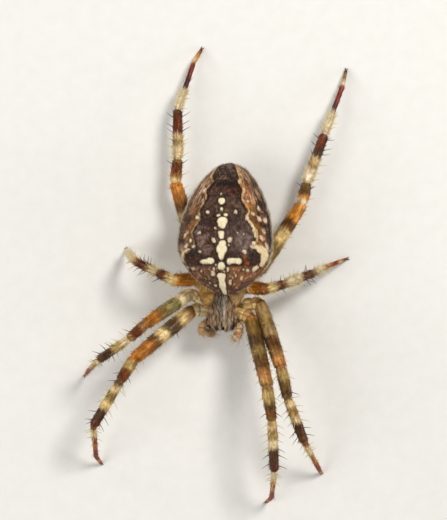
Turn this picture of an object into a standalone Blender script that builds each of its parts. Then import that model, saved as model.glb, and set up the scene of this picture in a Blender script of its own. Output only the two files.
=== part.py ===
"""Garden cross spider (Araneus diadematus), adult female, life size, in a fixed pose.

Frame: metres, +Z up. The head points towards -Y, the spider's left side is +X,
and the floor is z = 0. The origin is on the floor under the middle of the whole
animal, legs included. Sizes below are in millimetres and are turned into metres
by MM. Every named part of the body is one closed solid, and neighbouring solids
stand GAP apart.
"""

import math

import bmesh
import bpy
from mathutils import Matrix, Vector

MM = 0.001
GAP = 0.05            # clearance between neighbouring solids
HALF_GAP = GAP / 2.0

# moves the measured pose so that the whole animal is centred on the origin
SHIFT_X = 0.11
SHIFT_Y = 0.10

# ---------------------------------------------------------------- trunk sizes
ABDOMEN_LENGTH = 11.54
ABDOMEN_FRONT = (0.34, -1.86)       # front end, seen from above
ABDOMEN_LEAN = 0.30                 # the pointed front end leans to the left side
ABDOMEN_YAW = math.radians(4.6)     # rear end swings to the left side
ABDOMEN_ROLL = math.radians(4.0)    # back leans a little to the right side
ABDOMEN_HALF_WIDTH = 4.1
ABDOMEN_TOP_HEIGHT = 3.0            # back, above the centre line
ABDOMEN_BELLY_DEPTH = 3.5           # belly, below the centre line
ABDOMEN_CENTRE_FRONT = 7.00         # height of the centre line at the front end
ABDOMEN_CENTRE_REAR = 3.9
HUMP_HEIGHT = 0.22                  # blunt shoulder humps on the back

PROSOMA_X = 0.40                    # the middle line of carapace and sternum
CARAPACE_BOTTOM = 3.10
CARAPACE_MARGIN = 3.28
CARAPACE_REAR = 0.20
CARAPACE_FRONT = -4.76
THORAX_Y = -1.35
THORAX_HALF_WIDTH = 2.05
THORAX_RISE = 1.15
HEAD_HALF_LENGTH = 1.60
HEAD_HALF_WIDTH = 1.32
HEAD_RISE = 1.42

STERNUM_Y = -2.05
STERNUM_HALF_LENGTH = 1.80
STERNUM_HALF_WIDTH = 0.95
STERNUM_Z = 2.56
STERNUM_HALF_DEPTH = 0.48

JAW_MIDDLE_X = 0.36
EYES = {
    # name: (x of the pair's middle, offset from it, y, z, radius)
    "eye_anterior_median": (0.24, 0.27, -4.70, 3.98, 0.14),
    "eye_posterior_median": (0.20, 0.32, -4.61, 4.30, 0.13),
    "eye_anterior_lateral": (0.34, 0.96, -4.60, 3.82, 0.11),
    "eye_posterior_lateral": (0.34, 1.11, -4.46, 4.00, 0.11),
}

# ------------------------------------------------------------------ leg sizes
ROUNDING = 1.04                      # a ten-sided tube against the round limb
LEAST_RADIUS = 0.25
FOOT_CENTRE = 0.18                   # height of the last toe ring's centre
TUBE_SIDES_RESOLUTION = 3

# radius along each segment at even steps from its near end to its far end
SEGMENT_RADII = {
    "femur": (0.60, 0.67, 0.67, 0.63, 0.55),
    "patella": (0.50, 0.54, 0.53, 0.48, 0.43),
    "tibia": (0.40, 0.45, 0.46, 0.44, 0.41),
    "metatarsus": (0.30, 0.27, 0.25, 0.24, 0.24),
    "tarsus": (0.25, 0.24, 0.24, 0.23, 0.21),
}

# Each leg: where the coxa leaves the trunk, where the femur starts, and then
# length, heading (degrees from +X towards +Y) and rise (degrees) of each
# segment. The tarsus takes the length that brings the foot down to the floor.
LEGS = {
    "leg_left_1": {
        "girth": 1.00, "root": (1.18, -3.14, 2.60), "femur_start": (2.94, -3.79, 3.42),
        "segments": ((6.75, 283, 30), (2.95, 278, 3), (4.40, 273, -10),
                     (5.20, 267, -58), (1.60, 231, -65)),
    },
    "leg_left_2": {
        "girth": 1.00, "root": (1.55, -2.75, 2.60), "femur_start": (3.70, -2.50, 2.86),
        "segments": ((6.40, 288, 27), (2.70, 282, 3), (4.15, 291, -11),
                     (5.00, 298, -52), (1.60, 297, -65)),
    },
    "leg_left_3": {
        "girth": 0.86, "root": (1.62, -1.40, 2.60), "femur_start": (2.85, -1.14, 2.95),
        "segments": ((2.55, 355, 57), (1.80, 15, -21), (3.10, 21, -30),
                     (3.00, 23, -38), (1.35, 18, -43)),
    },
    "leg_left_4": {
        "girth": 1.00, "root": (1.10, -0.60, 2.55), "femur_start": (3.64, 0.29, 2.55),
        "segments": ((6.95, 57.4, -2), (1.85, 77, 2), (4.50, 70, -3),
                     (4.85, 69, -16), (1.65, 77, -23)),
    },
    "leg_right_1": {
        "girth": 1.00, "root": (-0.34, -3.12, 2.60), "femur_start": (-2.15, -3.13, 3.25),
        "segments": ((6.88, 219.5, 22), (2.25, 238, 15), (4.60, 239, -9),
                     (5.10, 270, -54), (1.60, 298, -59)),
    },
    "leg_right_2": {
        "girth": 0.89, "root": (-0.75, -2.70, 2.60), "femur_start": (-2.30, -1.65, 3.20),
        "segments": ((6.18, 214.0, 43), (1.95, 222, 16), (3.90, 215, -35),
                     (4.40, 225, -67), (1.55, 230, -69)),
    },
    "leg_right_3": {
        "girth": 0.86, "root": (-0.76, -1.42, 2.60), "femur_start": (-1.86, -0.44, 3.40),
        "segments": ((3.15, 181, 52), (1.45, 153, -6), (2.75, 154, -35),
                     (2.90, 133, -70), (1.30, 120, -74)),
    },
    "leg_right_4": {
        "girth": 1.00, "root": (-0.22, -0.62, 2.55), "femur_start": (-1.48, 0.90, 2.45),
        "segments": ((7.40, 107, -2), (2.05, 84, 2), (4.30, 90, -1),
                     (4.60, 72, -17), (1.70, 61, -24)),
    },
}
COXA_RADII = (0.42, 0.54, 0.61, 0.62, 0.60)

# ---------------------------------------------------------------- the palps
PALPS = {
    "palp_left": ((1.00, -3.98, 2.40), (1.62, -4.16, 2.75), (1.95, -4.50, 3.05),
                  (1.91, -5.00, 3.14), (1.72, -5.38, 2.80), (1.57, -5.58, 2.25)),
    "palp_right": ((-0.20, -3.98, 2.40), (-0.86, -4.14, 2.75), (-1.28, -4.48, 3.02),
                   (-1.35, -4.88, 3.14), (-0.98, -5.08, 2.86), (-0.36, -5.10, 2.50)),
}
PALP_RADII = (0.27, 0.33, 0.37, 0.37, 0.35, 0.28)


# ==================================================================== helpers
def clear_scene():
    for old in list(bpy.data.objects):
        bpy.data.objects.remove(old, do_unlink=True)


def collection(name):
    group = bpy.data.collections.new(name)
    bpy.context.scene.collection.children.link(group)
    return group


def material(name, colour, roughness=0.5):
    mat = bpy.data.materials.new(name)
    mat.use_nodes = True
    shader = mat.node_tree.nodes["Principled BSDF"]
    shader.inputs["Base Color"].default_value = (*colour, 1.0)
    shader.inputs["Roughness"].default_value = roughness
    shader.inputs["Metallic"].default_value = 0.0
    mat.diffuse_color = (*colour, 1.0)
    return mat


def placed(point):
    """A point of the pose in millimetres, as a place in the part's frame."""
    return Vector(((point[0] + SHIFT_X) * MM, (point[1] + SHIFT_Y) * MM, point[2] * MM))


def add_object(name, mesh, group, mat=None):
    obj = bpy.data.objects.new(name, mesh)
    group.objects.link(obj)
    if mat is not None:
        mesh.materials.clear()
        mesh.materials.append(mat)
    return obj


def mesh_from(bm, name):
    bmesh.ops.recalc_face_normals(bm, faces=bm.faces)
    if bm.calc_volume(signed=True) < 0.0:
        bmesh.ops.reverse_faces(bm, faces=bm.faces)
    mesh = bpy.data.meshes.new(name)
    bm.to_mesh(mesh)
    bm.free()
    mesh.shade_smooth()
    mesh.set_sharp_from_angle(angle=math.radians(50))
    return mesh


def tube_bmesh(points, radii):
    """A round tube with closed ends through the points, each with its own radius."""
    curve = bpy.data.curves.new("tube", "CURVE")
    curve.dimensions = "3D"
    curve.bevel_depth = MM
    curve.bevel_resolution = TUBE_SIDES_RESOLUTION
    curve.use_fill_caps = True
    spline = curve.splines.new("POLY")
    spline.points.add(len(points) - 1)
    for control, point, radius in zip(spline.points, points, radii):
        control.co = (*(point * MM), 1.0)
        control.radius = radius
    obj = bpy.data.objects.new("tube", curve)
    bpy.context.scene.collection.objects.link(obj)
    depsgraph = bpy.context.evaluated_depsgraph_get()
    mesh = bpy.data.meshes.new_from_object(obj.evaluated_get(depsgraph))
    bpy.data.objects.remove(obj, do_unlink=True)
    bpy.data.curves.remove(curve)
    bm = bmesh.new()
    bm.from_mesh(mesh)
    bpy.data.meshes.remove(mesh)
    bmesh.ops.remove_doubles(bm, verts=bm.verts, dist=0.00001 * 0.1)
    bmesh.ops.translate(bm, verts=bm.verts, vec=(SHIFT_X * MM, SHIFT_Y * MM, 0.0))
    return bm


def keep_side(bm, origin, normal):
    """Cuts the solid with a plane, keeps what the normal points to, closes the cut."""
    everything = bm.verts[:] + bm.edges[:] + bm.faces[:]
    bmesh.ops.bisect_plane(bm, geom=everything, dist=1e-8, plane_co=origin,
                           plane_no=normal, clear_inner=True)
    rim = [edge for edge in bm.edges if edge.is_boundary]
    if rim:
        bmesh.ops.holes_fill(bm, edges=rim, sides=0)


def shaped_sphere(point_at, around, along):
    """A sphere whose surface is carried to point_at(t, angle).

    t runs from 0 at one pole to 1 at the other, closer together near the ends.
    """
    bm = bmesh.new()
    bmesh.ops.create_uvsphere(bm, u_segments=around, v_segments=along, radius=1.0)
    for vert in bm.verts:
        t = (1.0 - max(-1.0, min(1.0, vert.co.z))) / 2.0
        vert.co = placed(point_at(t, math.atan2(vert.co.y, vert.co.x)))
    return bm


def swollen(obj, amount, group):
    """A hidden copy of a solid, grown by amount, to cut its neighbours with."""
    bm = bmesh.new()
    bm.from_mesh(obj.data)
    bm.normal_update()
    for vert in bm.verts:
        vert.co += vert.normal * amount * MM
    mesh = bpy.data.meshes.new(obj.name + "_cutter")
    bm.to_mesh(mesh)
    bm.free()
    cutter = add_object(obj.name + "_cutter", mesh, group)
    cutter.hide_render = True
    cutter.display_type = "WIRE"
    return cutter


def cut(obj, cutter):
    modifier = obj.modifiers.new("clear of " + cutter.name, "BOOLEAN")
    modifier.operation = "DIFFERENCE"
    modifier.solver = "EXACT"
    modifier.object = cutter


def rounded(value, power):
    """Sine or cosine, squared off by a superellipse power."""
    return math.copysign(abs(value) ** (2.0 / power), value)


def direction(heading, rise):
    heading = math.radians(heading)
    rise = math.radians(rise)
    return Vector((math.cos(rise) * math.cos(heading),
                   math.cos(rise) * math.sin(heading),
                   math.sin(rise)))


# ====================================================================== trunk
def abdomen_point(t, angle):
    """Egg shape along the abdomen's own axis: broad shoulders and a blunt point in front."""
    t = max(1e-5, min(1.0 - 1e-5, t))
    swell = math.sin(math.pi * t ** 0.734)
    width = ABDOMEN_HALF_WIDTH * swell ** (1.0 if t ** 0.734 < 0.5 else 0.487)
    side = rounded(math.cos(angle), 2.0) * width
    if math.sin(angle) >= 0.0:
        height = ABDOMEN_TOP_HEIGHT * math.sin(math.pi * t ** 0.80) ** (0.75 if t ** 0.80 < 0.5 else 0.52)
        lift = rounded(math.sin(angle), 2.15) * height
    else:
        depth = ABDOMEN_BELLY_DEPTH * math.sin(math.pi * t ** 0.90) ** (1.0 if t ** 0.90 < 0.5 else 0.80)
        lift = rounded(math.sin(angle), 1.85) * depth
    # shoulder humps, one to each side of the back
    for hump_side in (-1.0, 1.0):
        near = math.exp(-((side - hump_side * 2.3) / 0.9) ** 2 - ((t - 0.272) / 0.086) ** 2)
        if lift > 0.0:
            lift += HUMP_HEIGHT * near
    centre = ABDOMEN_CENTRE_FRONT + (ABDOMEN_CENTRE_REAR - ABDOMEN_CENTRE_FRONT) * t
    rolled_side = side * math.cos(ABDOMEN_ROLL) - lift * math.sin(ABDOMEN_ROLL)
    rolled_lift = lift * math.cos(ABDOMEN_ROLL) + side * math.sin(ABDOMEN_ROLL)
    along = t * ABDOMEN_LENGTH
    x = ABDOMEN_FRONT[0] + along * math.sin(ABDOMEN_YAW) + rolled_side * math.cos(ABDOMEN_YAW)
    x += ABDOMEN_LEAN * max(0.0, 1.0 - along / 4.5) ** 2
    y = ABDOMEN_FRONT[1] + along * math.cos(ABDOMEN_YAW) - rolled_side * math.sin(ABDOMEN_YAW)
    return (x, y, centre + rolled_lift)


def lobe(y, middle, half_length, power):
    """Height of a superellipse hump at y, from 0 at its ends to 1."""
    share = min(1.0, abs(y - middle) / half_length)
    return (1.0 - share ** power) ** (1.0 / power)


def carapace_point(t, angle):
    """Broad low thorax and a narrower, higher, blunt head in one shell."""
    y = CARAPACE_REAR + (CARAPACE_FRONT - CARAPACE_REAR) * t
    thorax_half = CARAPACE_REAR - THORAX_Y
    head_y = CARAPACE_FRONT + HEAD_HALF_LENGTH
    thorax = lobe(y, THORAX_Y, thorax_half, 2.1)
    head = lobe(y, head_y, HEAD_HALF_LENGTH, 5.5)
    width = ((THORAX_HALF_WIDTH * thorax) ** 4 + (HEAD_HALF_WIDTH * head) ** 4) ** 0.25
    rise = ((THORAX_RISE * thorax) ** 4 + (HEAD_RISE * head) ** 4) ** 0.25
    swell = min(1.0, width / 0.6)
    side = rounded(math.cos(angle), 2.2) * width
    if math.sin(angle) >= 0.0:
        z = CARAPACE_MARGIN + rounded(math.sin(angle), 2.2) * rise
    else:
        z = CARAPACE_MARGIN + rounded(math.sin(angle), 6.0) * (CARAPACE_MARGIN - CARAPACE_BOTTOM) * swell
    return (PROSOMA_X + side, y, z)


def sternum_point(t, angle):
    """Heart-shaped plate under the carapace, broad in front, narrow behind."""
    y = STERNUM_Y + STERNUM_HALF_LENGTH * (2.0 * t - 1.0)
    share = lobe(y, STERNUM_Y, STERNUM_HALF_LENGTH, 2.4)
    width = STERNUM_HALF_WIDTH * share * (1.0 - 0.10 * (2.0 * t - 1.0))
    side = rounded(math.cos(angle), 2.6) * width
    z = STERNUM_Z + rounded(math.sin(angle), 2.6) * STERNUM_HALF_DEPTH * share
    return (PROSOMA_X + side, y, z)


def build_chelicera(name, side, group, mat):
    """Stout jaw hanging under the front of the head, swollen at the knee."""
    top = Vector((JAW_MIDDLE_X + side * 0.53, -4.22, 3.02))
    bottom = Vector((JAW_MIDDLE_X + side * 0.46, -4.50, 1.30))
    shares = (0.0, 0.08, 0.3, 0.6, 0.85, 1.0)
    radii = (0.34, 0.44, 0.50, 0.46, 0.36, 0.20)
    bm = tube_bmesh([top.lerp(bottom, share) for share in shares], radii)
    return add_object(name, mesh_from(bm, name), group, mat)


def build_eye(name, centre, radius, group, mat):
    bm = bmesh.new()
    bmesh.ops.create_uvsphere(bm, u_segments=8, v_segments=6, radius=radius * MM)
    bmesh.ops.translate(bm, verts=bm.verts, vec=placed(centre))
    return add_object(name, mesh_from(bm, name), group, mat)


def build_palp(name, points, group, mat):
    points = [Vector(point) for point in points]
    tip = (points[-1] - points[-2]).normalized()
    points += [points[-1] + tip * 0.14, points[-1] + tip * 0.21]
    radii = [radius * ROUNDING for radius in PALP_RADII]
    radii += [0.17, 0.08]
    bm = tube_bmesh(points, radii)
    return add_object(name, mesh_from(bm, name), group, mat)


def build_spinnerets(group, mat):
    """The cluster of spinnerets under the rear of the abdomen, one blunt cone."""
    base = Vector((1.02, 7.30, 2.85))
    axis = direction(90, -68)
    shares = (0.0, 0.35, 0.8, 1.15, 1.32, 1.40)
    radii = (0.62, 0.62, 0.52, 0.40, 0.28, 0.12)
    bm = tube_bmesh([base + axis * share for share in shares], radii)
    return add_object("spinnerets", mesh_from(bm, "spinnerets"), group, mat)


def build_pedicel(group, mat):
    """The thin stalk between carapace and abdomen, hidden from above."""
    start = Vector((0.45, -0.60, 2.85))
    end = Vector((0.58, 1.45, 4.55))
    bm = tube_bmesh([start, start.lerp(end, 0.5), end], (0.34, 0.36, 0.40))
    return add_object("pedicel", mesh_from(bm, "pedicel"), group, mat)


# ======================================================================= legs
def leg_joints(leg):
    """The femur's start and the far end of each segment, foot last."""
    points = [Vector(leg["femur_start"])]
    for length, heading, rise in leg["segments"][:-1]:
        points.append(points[-1] + direction(heading, rise) * length)
    _, heading, rise = leg["segments"][-1]
    step = direction(heading, rise)
    points.append(points[-1] + step * ((FOOT_CENTRE - points[-1].z) / step.z))
    return points


def segment_radii(kind, girth):
    return [max(LEAST_RADIUS, radius * girth * ROUNDING) for radius in SEGMENT_RADII[kind]]


def segment_points(start, end, stations):
    return [start.lerp(end, share) for share in stations]


EVEN = (0.0, 0.25, 0.5, 0.75, 1.0)
REACH = 0.55          # how far a tube runs past a joint before it is cut


def joint_plane(before, at, after):
    """Mid plane of a bend: its point in the frame and its normal down the leg."""
    normal = ((at - before).normalized() + (after - at).normalized()).normalized()
    return placed(at), normal


def build_segment(name, start, end, radii, start_plane, end_plane, group, mat):
    step = (end - start).normalized()
    points = [start - step * REACH] + segment_points(start, end, EVEN) + [end + step * REACH]
    bm = tube_bmesh(points, [radii[0]] + list(radii) + [radii[-1]])
    co, no = start_plane
    keep_side(bm, co + no * HALF_GAP * MM, no)
    co, no = end_plane
    keep_side(bm, co - no * HALF_GAP * MM, -no)
    return add_object(name, mesh_from(bm, name), group, mat)


def build_foot(name, joints, girth, start_plane, group, mat):
    """Metatarsus and tarsus in one, with a rounded toe pressed flat on the floor."""
    knee, ankle, toe = joints
    upper = (ankle - knee).normalized()
    lower = (toe - ankle).normalized()
    metatarsus = segment_radii("metatarsus", girth)
    tarsus = segment_radii("tarsus", girth)
    points = [knee - upper * REACH] + segment_points(knee, ankle, (0.0, 0.3, 0.6, 0.9))
    radii = [metatarsus[0]] + metatarsus[:4]
    points += segment_points(ankle, toe, (0.12, 0.55, 1.0))
    radii += [tarsus[0], tarsus[2], tarsus[4]]
    points += [toe + lower * 0.12, toe + lower * 0.21]
    radii += [0.20, 0.09]
    bm = tube_bmesh(points, radii)
    co, no = start_plane
    keep_side(bm, co + no * HALF_GAP * MM, no)
    keep_side(bm, Vector((0.0, 0.0, 0.0)), Vector((0.0, 0.0, 1.0)))
    return add_object(name, mesh_from(bm, name), group, mat)


def build_leg(name, leg, group, mats):
    girth = leg["girth"]
    root = Vector(leg["root"])
    joints = leg_joints(leg)
    chain = [root] + joints
    planes = [joint_plane(chain[i - 1], chain[i], chain[i + 1]) for i in range(1, 5)]

    step = (joints[0] - root).normalized()
    coxa = tube_bmesh(
        segment_points(root, joints[0], EVEN) + [joints[0] + step * REACH],
        [radius * girth * ROUNDING for radius in COXA_RADII + COXA_RADII[-1:]])
    co, no = planes[0]
    keep_side(coxa, co - no * HALF_GAP * MM, -no)
    built = {"coxa": add_object(name + "_coxa", mesh_from(coxa, name + "_coxa"),
                                group, mats["coxa"])}
    for number, kind in enumerate(("femur", "patella", "tibia")):
        built[kind] = build_segment(
            name + "_" + kind, joints[number], joints[number + 1],
            segment_radii(kind, girth), planes[number], planes[number + 1],
            group, mats[kind])
    built["foot"] = build_foot(name + "_metatarsus", joints[3:6], girth, planes[3],
                               group, mats["foot"])
    return built


# ====================================================================== build
clear_scene()
parts = collection("cross_spider")
cutters = collection("cross_spider_cutters")

chitin = {
    "abdomen": material("abdomen brown", (0.15, 0.08, 0.05), 0.55),
    "carapace": material("carapace grey brown", (0.30, 0.22, 0.15), 0.50),
    "sternum": material("sternum dark brown", (0.10, 0.06, 0.04), 0.50),
    "jaw": material("chelicera amber", (0.40, 0.22, 0.09), 0.35),
    "palp": material("palp cream", (0.66, 0.52, 0.33), 0.45),
    "eye": material("eye black", (0.01, 0.01, 0.01), 0.10),
    "spinnerets": material("spinneret brown", (0.16, 0.10, 0.06), 0.60),
}
leg_materials = {
    "coxa": material("coxa cream", (0.62, 0.45, 0.25), 0.45),
    "femur": material("femur amber", (0.45, 0.26, 0.10), 0.40),
    "patella": material("patella red brown", (0.38, 0.15, 0.06), 0.40),
    "tibia": material("tibia cream", (0.68, 0.55, 0.36), 0.45),
    "foot": material("metatarsus rust", (0.40, 0.16, 0.06), 0.45),
}

abdomen = add_object("abdomen", mesh_from(shaped_sphere(abdomen_point, 24, 18), "abdomen"),
                     parts, chitin["abdomen"])
carapace = add_object("carapace", mesh_from(shaped_sphere(carapace_point, 20, 14), "carapace"),
                      parts, chitin["carapace"])
sternum = add_object("sternum", mesh_from(shaped_sphere(sternum_point, 16, 10), "sternum"),
                     parts, chitin["sternum"])
pedicel = build_pedicel(parts, chitin["sternum"])
spinnerets = build_spinnerets(parts, chitin["spinnerets"])
jaws = [build_chelicera("chelicera_" + word, side, parts, chitin["jaw"])
        for word, side in (("left", 1.0), ("right", -1.0))]
palps = [build_palp(name, points, parts, chitin["palp"]) for name, points in PALPS.items()]

carapace_cutter = swollen(carapace, GAP, cutters)
sternum_cutter = swollen(sternum, GAP, cutters)
abdomen_cutter = swollen(abdomen, GAP, cutters)
jaw_cutters = [swollen(jaw, GAP, cutters) for jaw in jaws]

for eye_name, (middle, offset, eye_y, eye_z, eye_radius) in EYES.items():
    for word, side in (("left", 1.0), ("right", -1.0)):
        eye = build_eye(eye_name + "_" + word, (middle + side * offset, eye_y, eye_z),
                        eye_radius, parts, chitin["eye"])
        cut(carapace, swollen(eye, GAP, cutters))

for cutter in (carapace_cutter, sternum_cutter, abdomen_cutter):
    cut(pedicel, cutter)
cut(spinnerets, abdomen_cutter)
for palp in palps:
    for cutter in (sternum_cutter, carapace_cutter, *jaw_cutters):
        cut(palp, cutter)

limbs = {}
for leg_name, leg_values in LEGS.items():
    leg_parts = build_leg(leg_name, leg_values, parts, leg_materials)
    limbs[leg_name] = leg_parts
    cut(leg_parts["coxa"], sternum_cutter)
    cut(leg_parts["coxa"], carapace_cutter)
# legs that touch at their bases leave each other a hair's width
TOUCHING = (("leg_left_1", "coxa", "leg_left_2", "coxa"), ("leg_left_1", "coxa", "leg_left_2", "femur"),
            ("leg_left_1", "femur", "leg_left_2", "femur"), ("leg_left_3", "coxa", "leg_left_4", "coxa"),
            ("leg_right_1", "coxa", "leg_right_2", "coxa"), ("leg_right_1", "coxa", "leg_right_2", "femur"),
            ("leg_right_1", "femur", "leg_right_2", "femur"))
for first_leg, first_part, second_leg, second_part in TOUCHING:
    cut(limbs[second_leg][second_part], swollen(limbs[first_leg][first_part], GAP, cutters))
for palp, leg_name in zip(palps, ("leg_left_1", "leg_right_1")):
    cut(palp, swollen(limbs[leg_name]["coxa"], GAP, cutters))
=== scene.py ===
"""Looks of the garden cross spider: skins with their markings, hair, spines, eyes,
claws, the floor, the light and the camera.

Shapes are worked out in millimetres in the pose's own coordinates, the same ones that
the solids are made from: +Z up, the head towards -Y, the spider's left side +X.
mesh_piece() moves them by SHIFT and turns them into metres. Markings on the back are
laid out on a plan of the animal seen from straight above, also in millimetres.
"""
import itertools
import math
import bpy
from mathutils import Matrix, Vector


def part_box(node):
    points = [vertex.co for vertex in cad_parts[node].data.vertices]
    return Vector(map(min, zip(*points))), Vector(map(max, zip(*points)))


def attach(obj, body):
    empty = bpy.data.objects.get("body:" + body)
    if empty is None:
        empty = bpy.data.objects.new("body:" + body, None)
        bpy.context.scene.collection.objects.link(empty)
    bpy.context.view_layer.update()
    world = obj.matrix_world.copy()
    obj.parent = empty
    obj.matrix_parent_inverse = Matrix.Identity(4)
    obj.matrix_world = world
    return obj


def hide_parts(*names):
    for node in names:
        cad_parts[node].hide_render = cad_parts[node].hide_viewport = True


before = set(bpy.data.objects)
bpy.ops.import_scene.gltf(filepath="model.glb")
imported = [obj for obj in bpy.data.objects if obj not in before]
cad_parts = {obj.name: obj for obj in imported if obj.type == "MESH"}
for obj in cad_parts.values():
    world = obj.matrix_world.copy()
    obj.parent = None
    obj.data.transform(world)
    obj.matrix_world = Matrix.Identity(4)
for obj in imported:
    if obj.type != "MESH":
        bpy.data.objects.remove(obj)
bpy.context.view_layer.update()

from types import SimpleNamespace

import bpy
import numpy as np
from mathutils import Vector

MM = 0.001
SHIFT = np.array((0.11, 0.10, 0.0))
UP = np.array((0.0, 0.0, 1.0))
rng = np.random.default_rng(1758)      # Carl Clerck's cross spider got its Latin name then
SIDES = {"left": 1.0, "right": -1.0}
UV_MARGIN = 0.008                      # kept free round every unwrap
TILES = 4                              # the pieces of hair share a square of 4 x 4 tiles
HAIR_PATCH = 0.003                     # how far a hair spreads from its root on the unwrap
HAIR_TAPER = 0.6                       # a power; smaller keeps a hair thick for longer
HAIR_ROOT = 1.5                        # how deep a hair starts in the skin, in its radii

# ---------------------------------------------------------------- camera, in mm
CAMERA_X, CAMERA_Y = 0.557, 1.243      # straight above this point of the pose
CAMERA_DISTANCE = 185.7                # from the middle height of the body
BODY_HEIGHT = 5.0
BODY_MIDDLE = (0.5, 0.0, 4.0)          # what the lights are turned to
LENS, SENSOR = 150.0, 36.0

# ------------------------------------------------------- body sizes, as in the solids
ABDOMEN_LENGTH = 11.54
ABDOMEN_FRONT = (0.34, -1.86)
ABDOMEN_LEAN = 0.30
ABDOMEN_YAW = math.radians(4.6)
ABDOMEN_ROLL = math.radians(4.0)
ABDOMEN_HALF_WIDTH = 4.1
ABDOMEN_TOP_HEIGHT = 3.0
ABDOMEN_BELLY_DEPTH = 3.5
# how these run along the abdomen, see swollen(): peak, roundness in front and behind
WIDTH_RUN, TOP_RUN, BELLY_RUN = (0.734, 1.0, 0.487), (0.80, 0.75, 0.52), (0.90, 1.0, 0.80)
TOP_SQUARENESS, BELLY_SQUARENESS = 2.15, 1.85
ABDOMEN_CENTRE_FRONT, ABDOMEN_CENTRE_REAR = 7.00, 3.9
ABDOMEN_LEAN_LENGTH = 4.5              # the front end that leans to the left
HUMP_HEIGHT, HUMP_OUT, HUMP_HALF_WIDTH = 0.22, 2.3, 0.9
HUMP_SHARE, HUMP_HALF_SHARE = 0.272, 0.086
ABDOMEN_COAT = 0.10                    # how deep the skin lies under the hair's tips

PROSOMA_X = 0.40
CARAPACE_BOTTOM, CARAPACE_MARGIN = 3.10, 3.28
CARAPACE_REAR, CARAPACE_FRONT = 0.20, -4.76
THORAX_Y, THORAX_HALF_WIDTH, THORAX_RISE = -1.35, 2.05, 1.15
HEAD_HALF_LENGTH, HEAD_HALF_WIDTH, HEAD_RISE = 1.60, 1.32, 1.42
THORAX_SQUARENESS, HEAD_SQUARENESS = 2.1, 5.5
CARAPACE_SQUARENESS, CARAPACE_UNDER_SQUARENESS = 2.2, 6.0
FOVEA_Y = -1.05                        # the dimple in the middle of the thorax
JAW_MIDDLE_X = 0.36
CARAPACE_COAT = 0.05

STERNUM_Y, STERNUM_HALF_LENGTH, STERNUM_HALF_WIDTH = -2.05, 1.80, 0.95
STERNUM_Z, STERNUM_HALF_DEPTH = 2.56, 0.48

EYES = {
    # name: (x of the pair's middle, offset from it, y, z, radius)
    "eye_anterior_median": (0.24, 0.27, -4.70, 3.98, 0.14),
    "eye_posterior_median": (0.20, 0.32, -4.61, 4.30, 0.13),
    "eye_anterior_lateral": (0.34, 0.96, -4.60, 3.82, 0.11),
    "eye_posterior_lateral": (0.34, 1.11, -4.46, 4.00, 0.11),
}

LEG_COAT = 0.03
LEG_STEP = 0.06                        # distance between the rings of a leg's skin
LEG_SIDES = 32
WAIST_LENGTH, WAIST_DEPTH = 0.09, 0.20         # of a leg's joints; the depth is a share
TROCHANTER_SHARE, TROCHANTER_LENGTH = 0.70, 0.07
TOE_ROUND = 0.12
FOOT_CENTRE = 0.18
SEGMENT_NAMES = ("coxa", "femur", "patella", "tibia", "metatarsus", "tarsus")
SEGMENT_RADII = {
    "coxa": (0.42, 0.54, 0.61, 0.62, 0.60),
    "femur": (0.60, 0.67, 0.67, 0.63, 0.55),
    "patella": (0.50, 0.54, 0.53, 0.48, 0.43),
    "tibia": (0.40, 0.45, 0.46, 0.44, 0.41),
    "metatarsus": (0.31, 0.28, 0.25, 0.24, 0.24),
    "tarsus": (0.225, 0.215, 0.20, 0.19, 0.16),
}
LEGS = {
    "leg_left_1": {
        "girth": 1.00, "root": (1.18, -3.14, 2.60), "femur_start": (2.94, -3.79, 3.42),
        "segments": ((6.75, 283, 30), (2.95, 278, 3), (4.40, 273, -10),
                     (5.20, 267, -58), (1.60, 231, -65)),
    },
    "leg_left_2": {
        "girth": 1.00, "root": (1.55, -2.75, 2.60), "femur_start": (3.70, -2.50, 2.86),
        "segments": ((6.40, 288, 27), (2.70, 282, 3), (4.15, 291, -11),
                     (5.00, 298, -52), (1.60, 297, -65)),
    },
    "leg_left_3": {
        "girth": 0.86, "root": (1.62, -1.40, 2.60), "femur_start": (2.85, -1.14, 2.95),
        "segments": ((2.55, 355, 57), (1.80, 15, -21), (3.10, 21, -30),
                     (3.00, 23, -38), (1.35, 18, -43)),
    },
    "leg_left_4": {
        "girth": 1.00, "root": (1.10, -0.60, 2.55), "femur_start": (3.64, 0.29, 2.55),
        "segments": ((6.95, 57.4, -2), (1.85, 77, 2), (4.50, 70, -3),
                     (4.85, 69, -16), (1.65, 77, -23)),
    },
    "leg_right_1": {
        "girth": 1.00, "root": (-0.34, -3.12, 2.60), "femur_start": (-2.15, -3.13, 3.25),
        "segments": ((6.88, 219.5, 22), (2.25, 238, 15), (4.60, 239, -9),
                     (5.10, 270, -54), (1.60, 298, -59)),
    },
    "leg_right_2": {
        "girth": 0.89, "root": (-0.75, -2.70, 2.60), "femur_start": (-2.30, -1.65, 3.20),
        "segments": ((6.18, 214.0, 43), (1.95, 222, 16), (3.90, 215, -35),
                     (4.40, 225, -67), (1.55, 230, -69)),
    },
    "leg_right_3": {
        "girth": 0.86, "root": (-0.76, -1.42, 2.60), "femur_start": (-1.86, -0.44, 3.40),
        "segments": ((3.15, 181, 52), (1.45, 153, -6), (2.75, 154, -35),
                     (2.90, 133, -70), (1.30, 120, -74)),
    },
    "leg_right_4": {
        "girth": 1.00, "root": (-0.22, -0.62, 2.55), "femur_start": (-1.48, 0.90, 2.45),
        "segments": ((7.40, 107, -2), (2.05, 84, 2), (4.30, 90, -1),
                     (4.60, 72, -17), (1.70, 61, -24)),
    },
}
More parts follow.
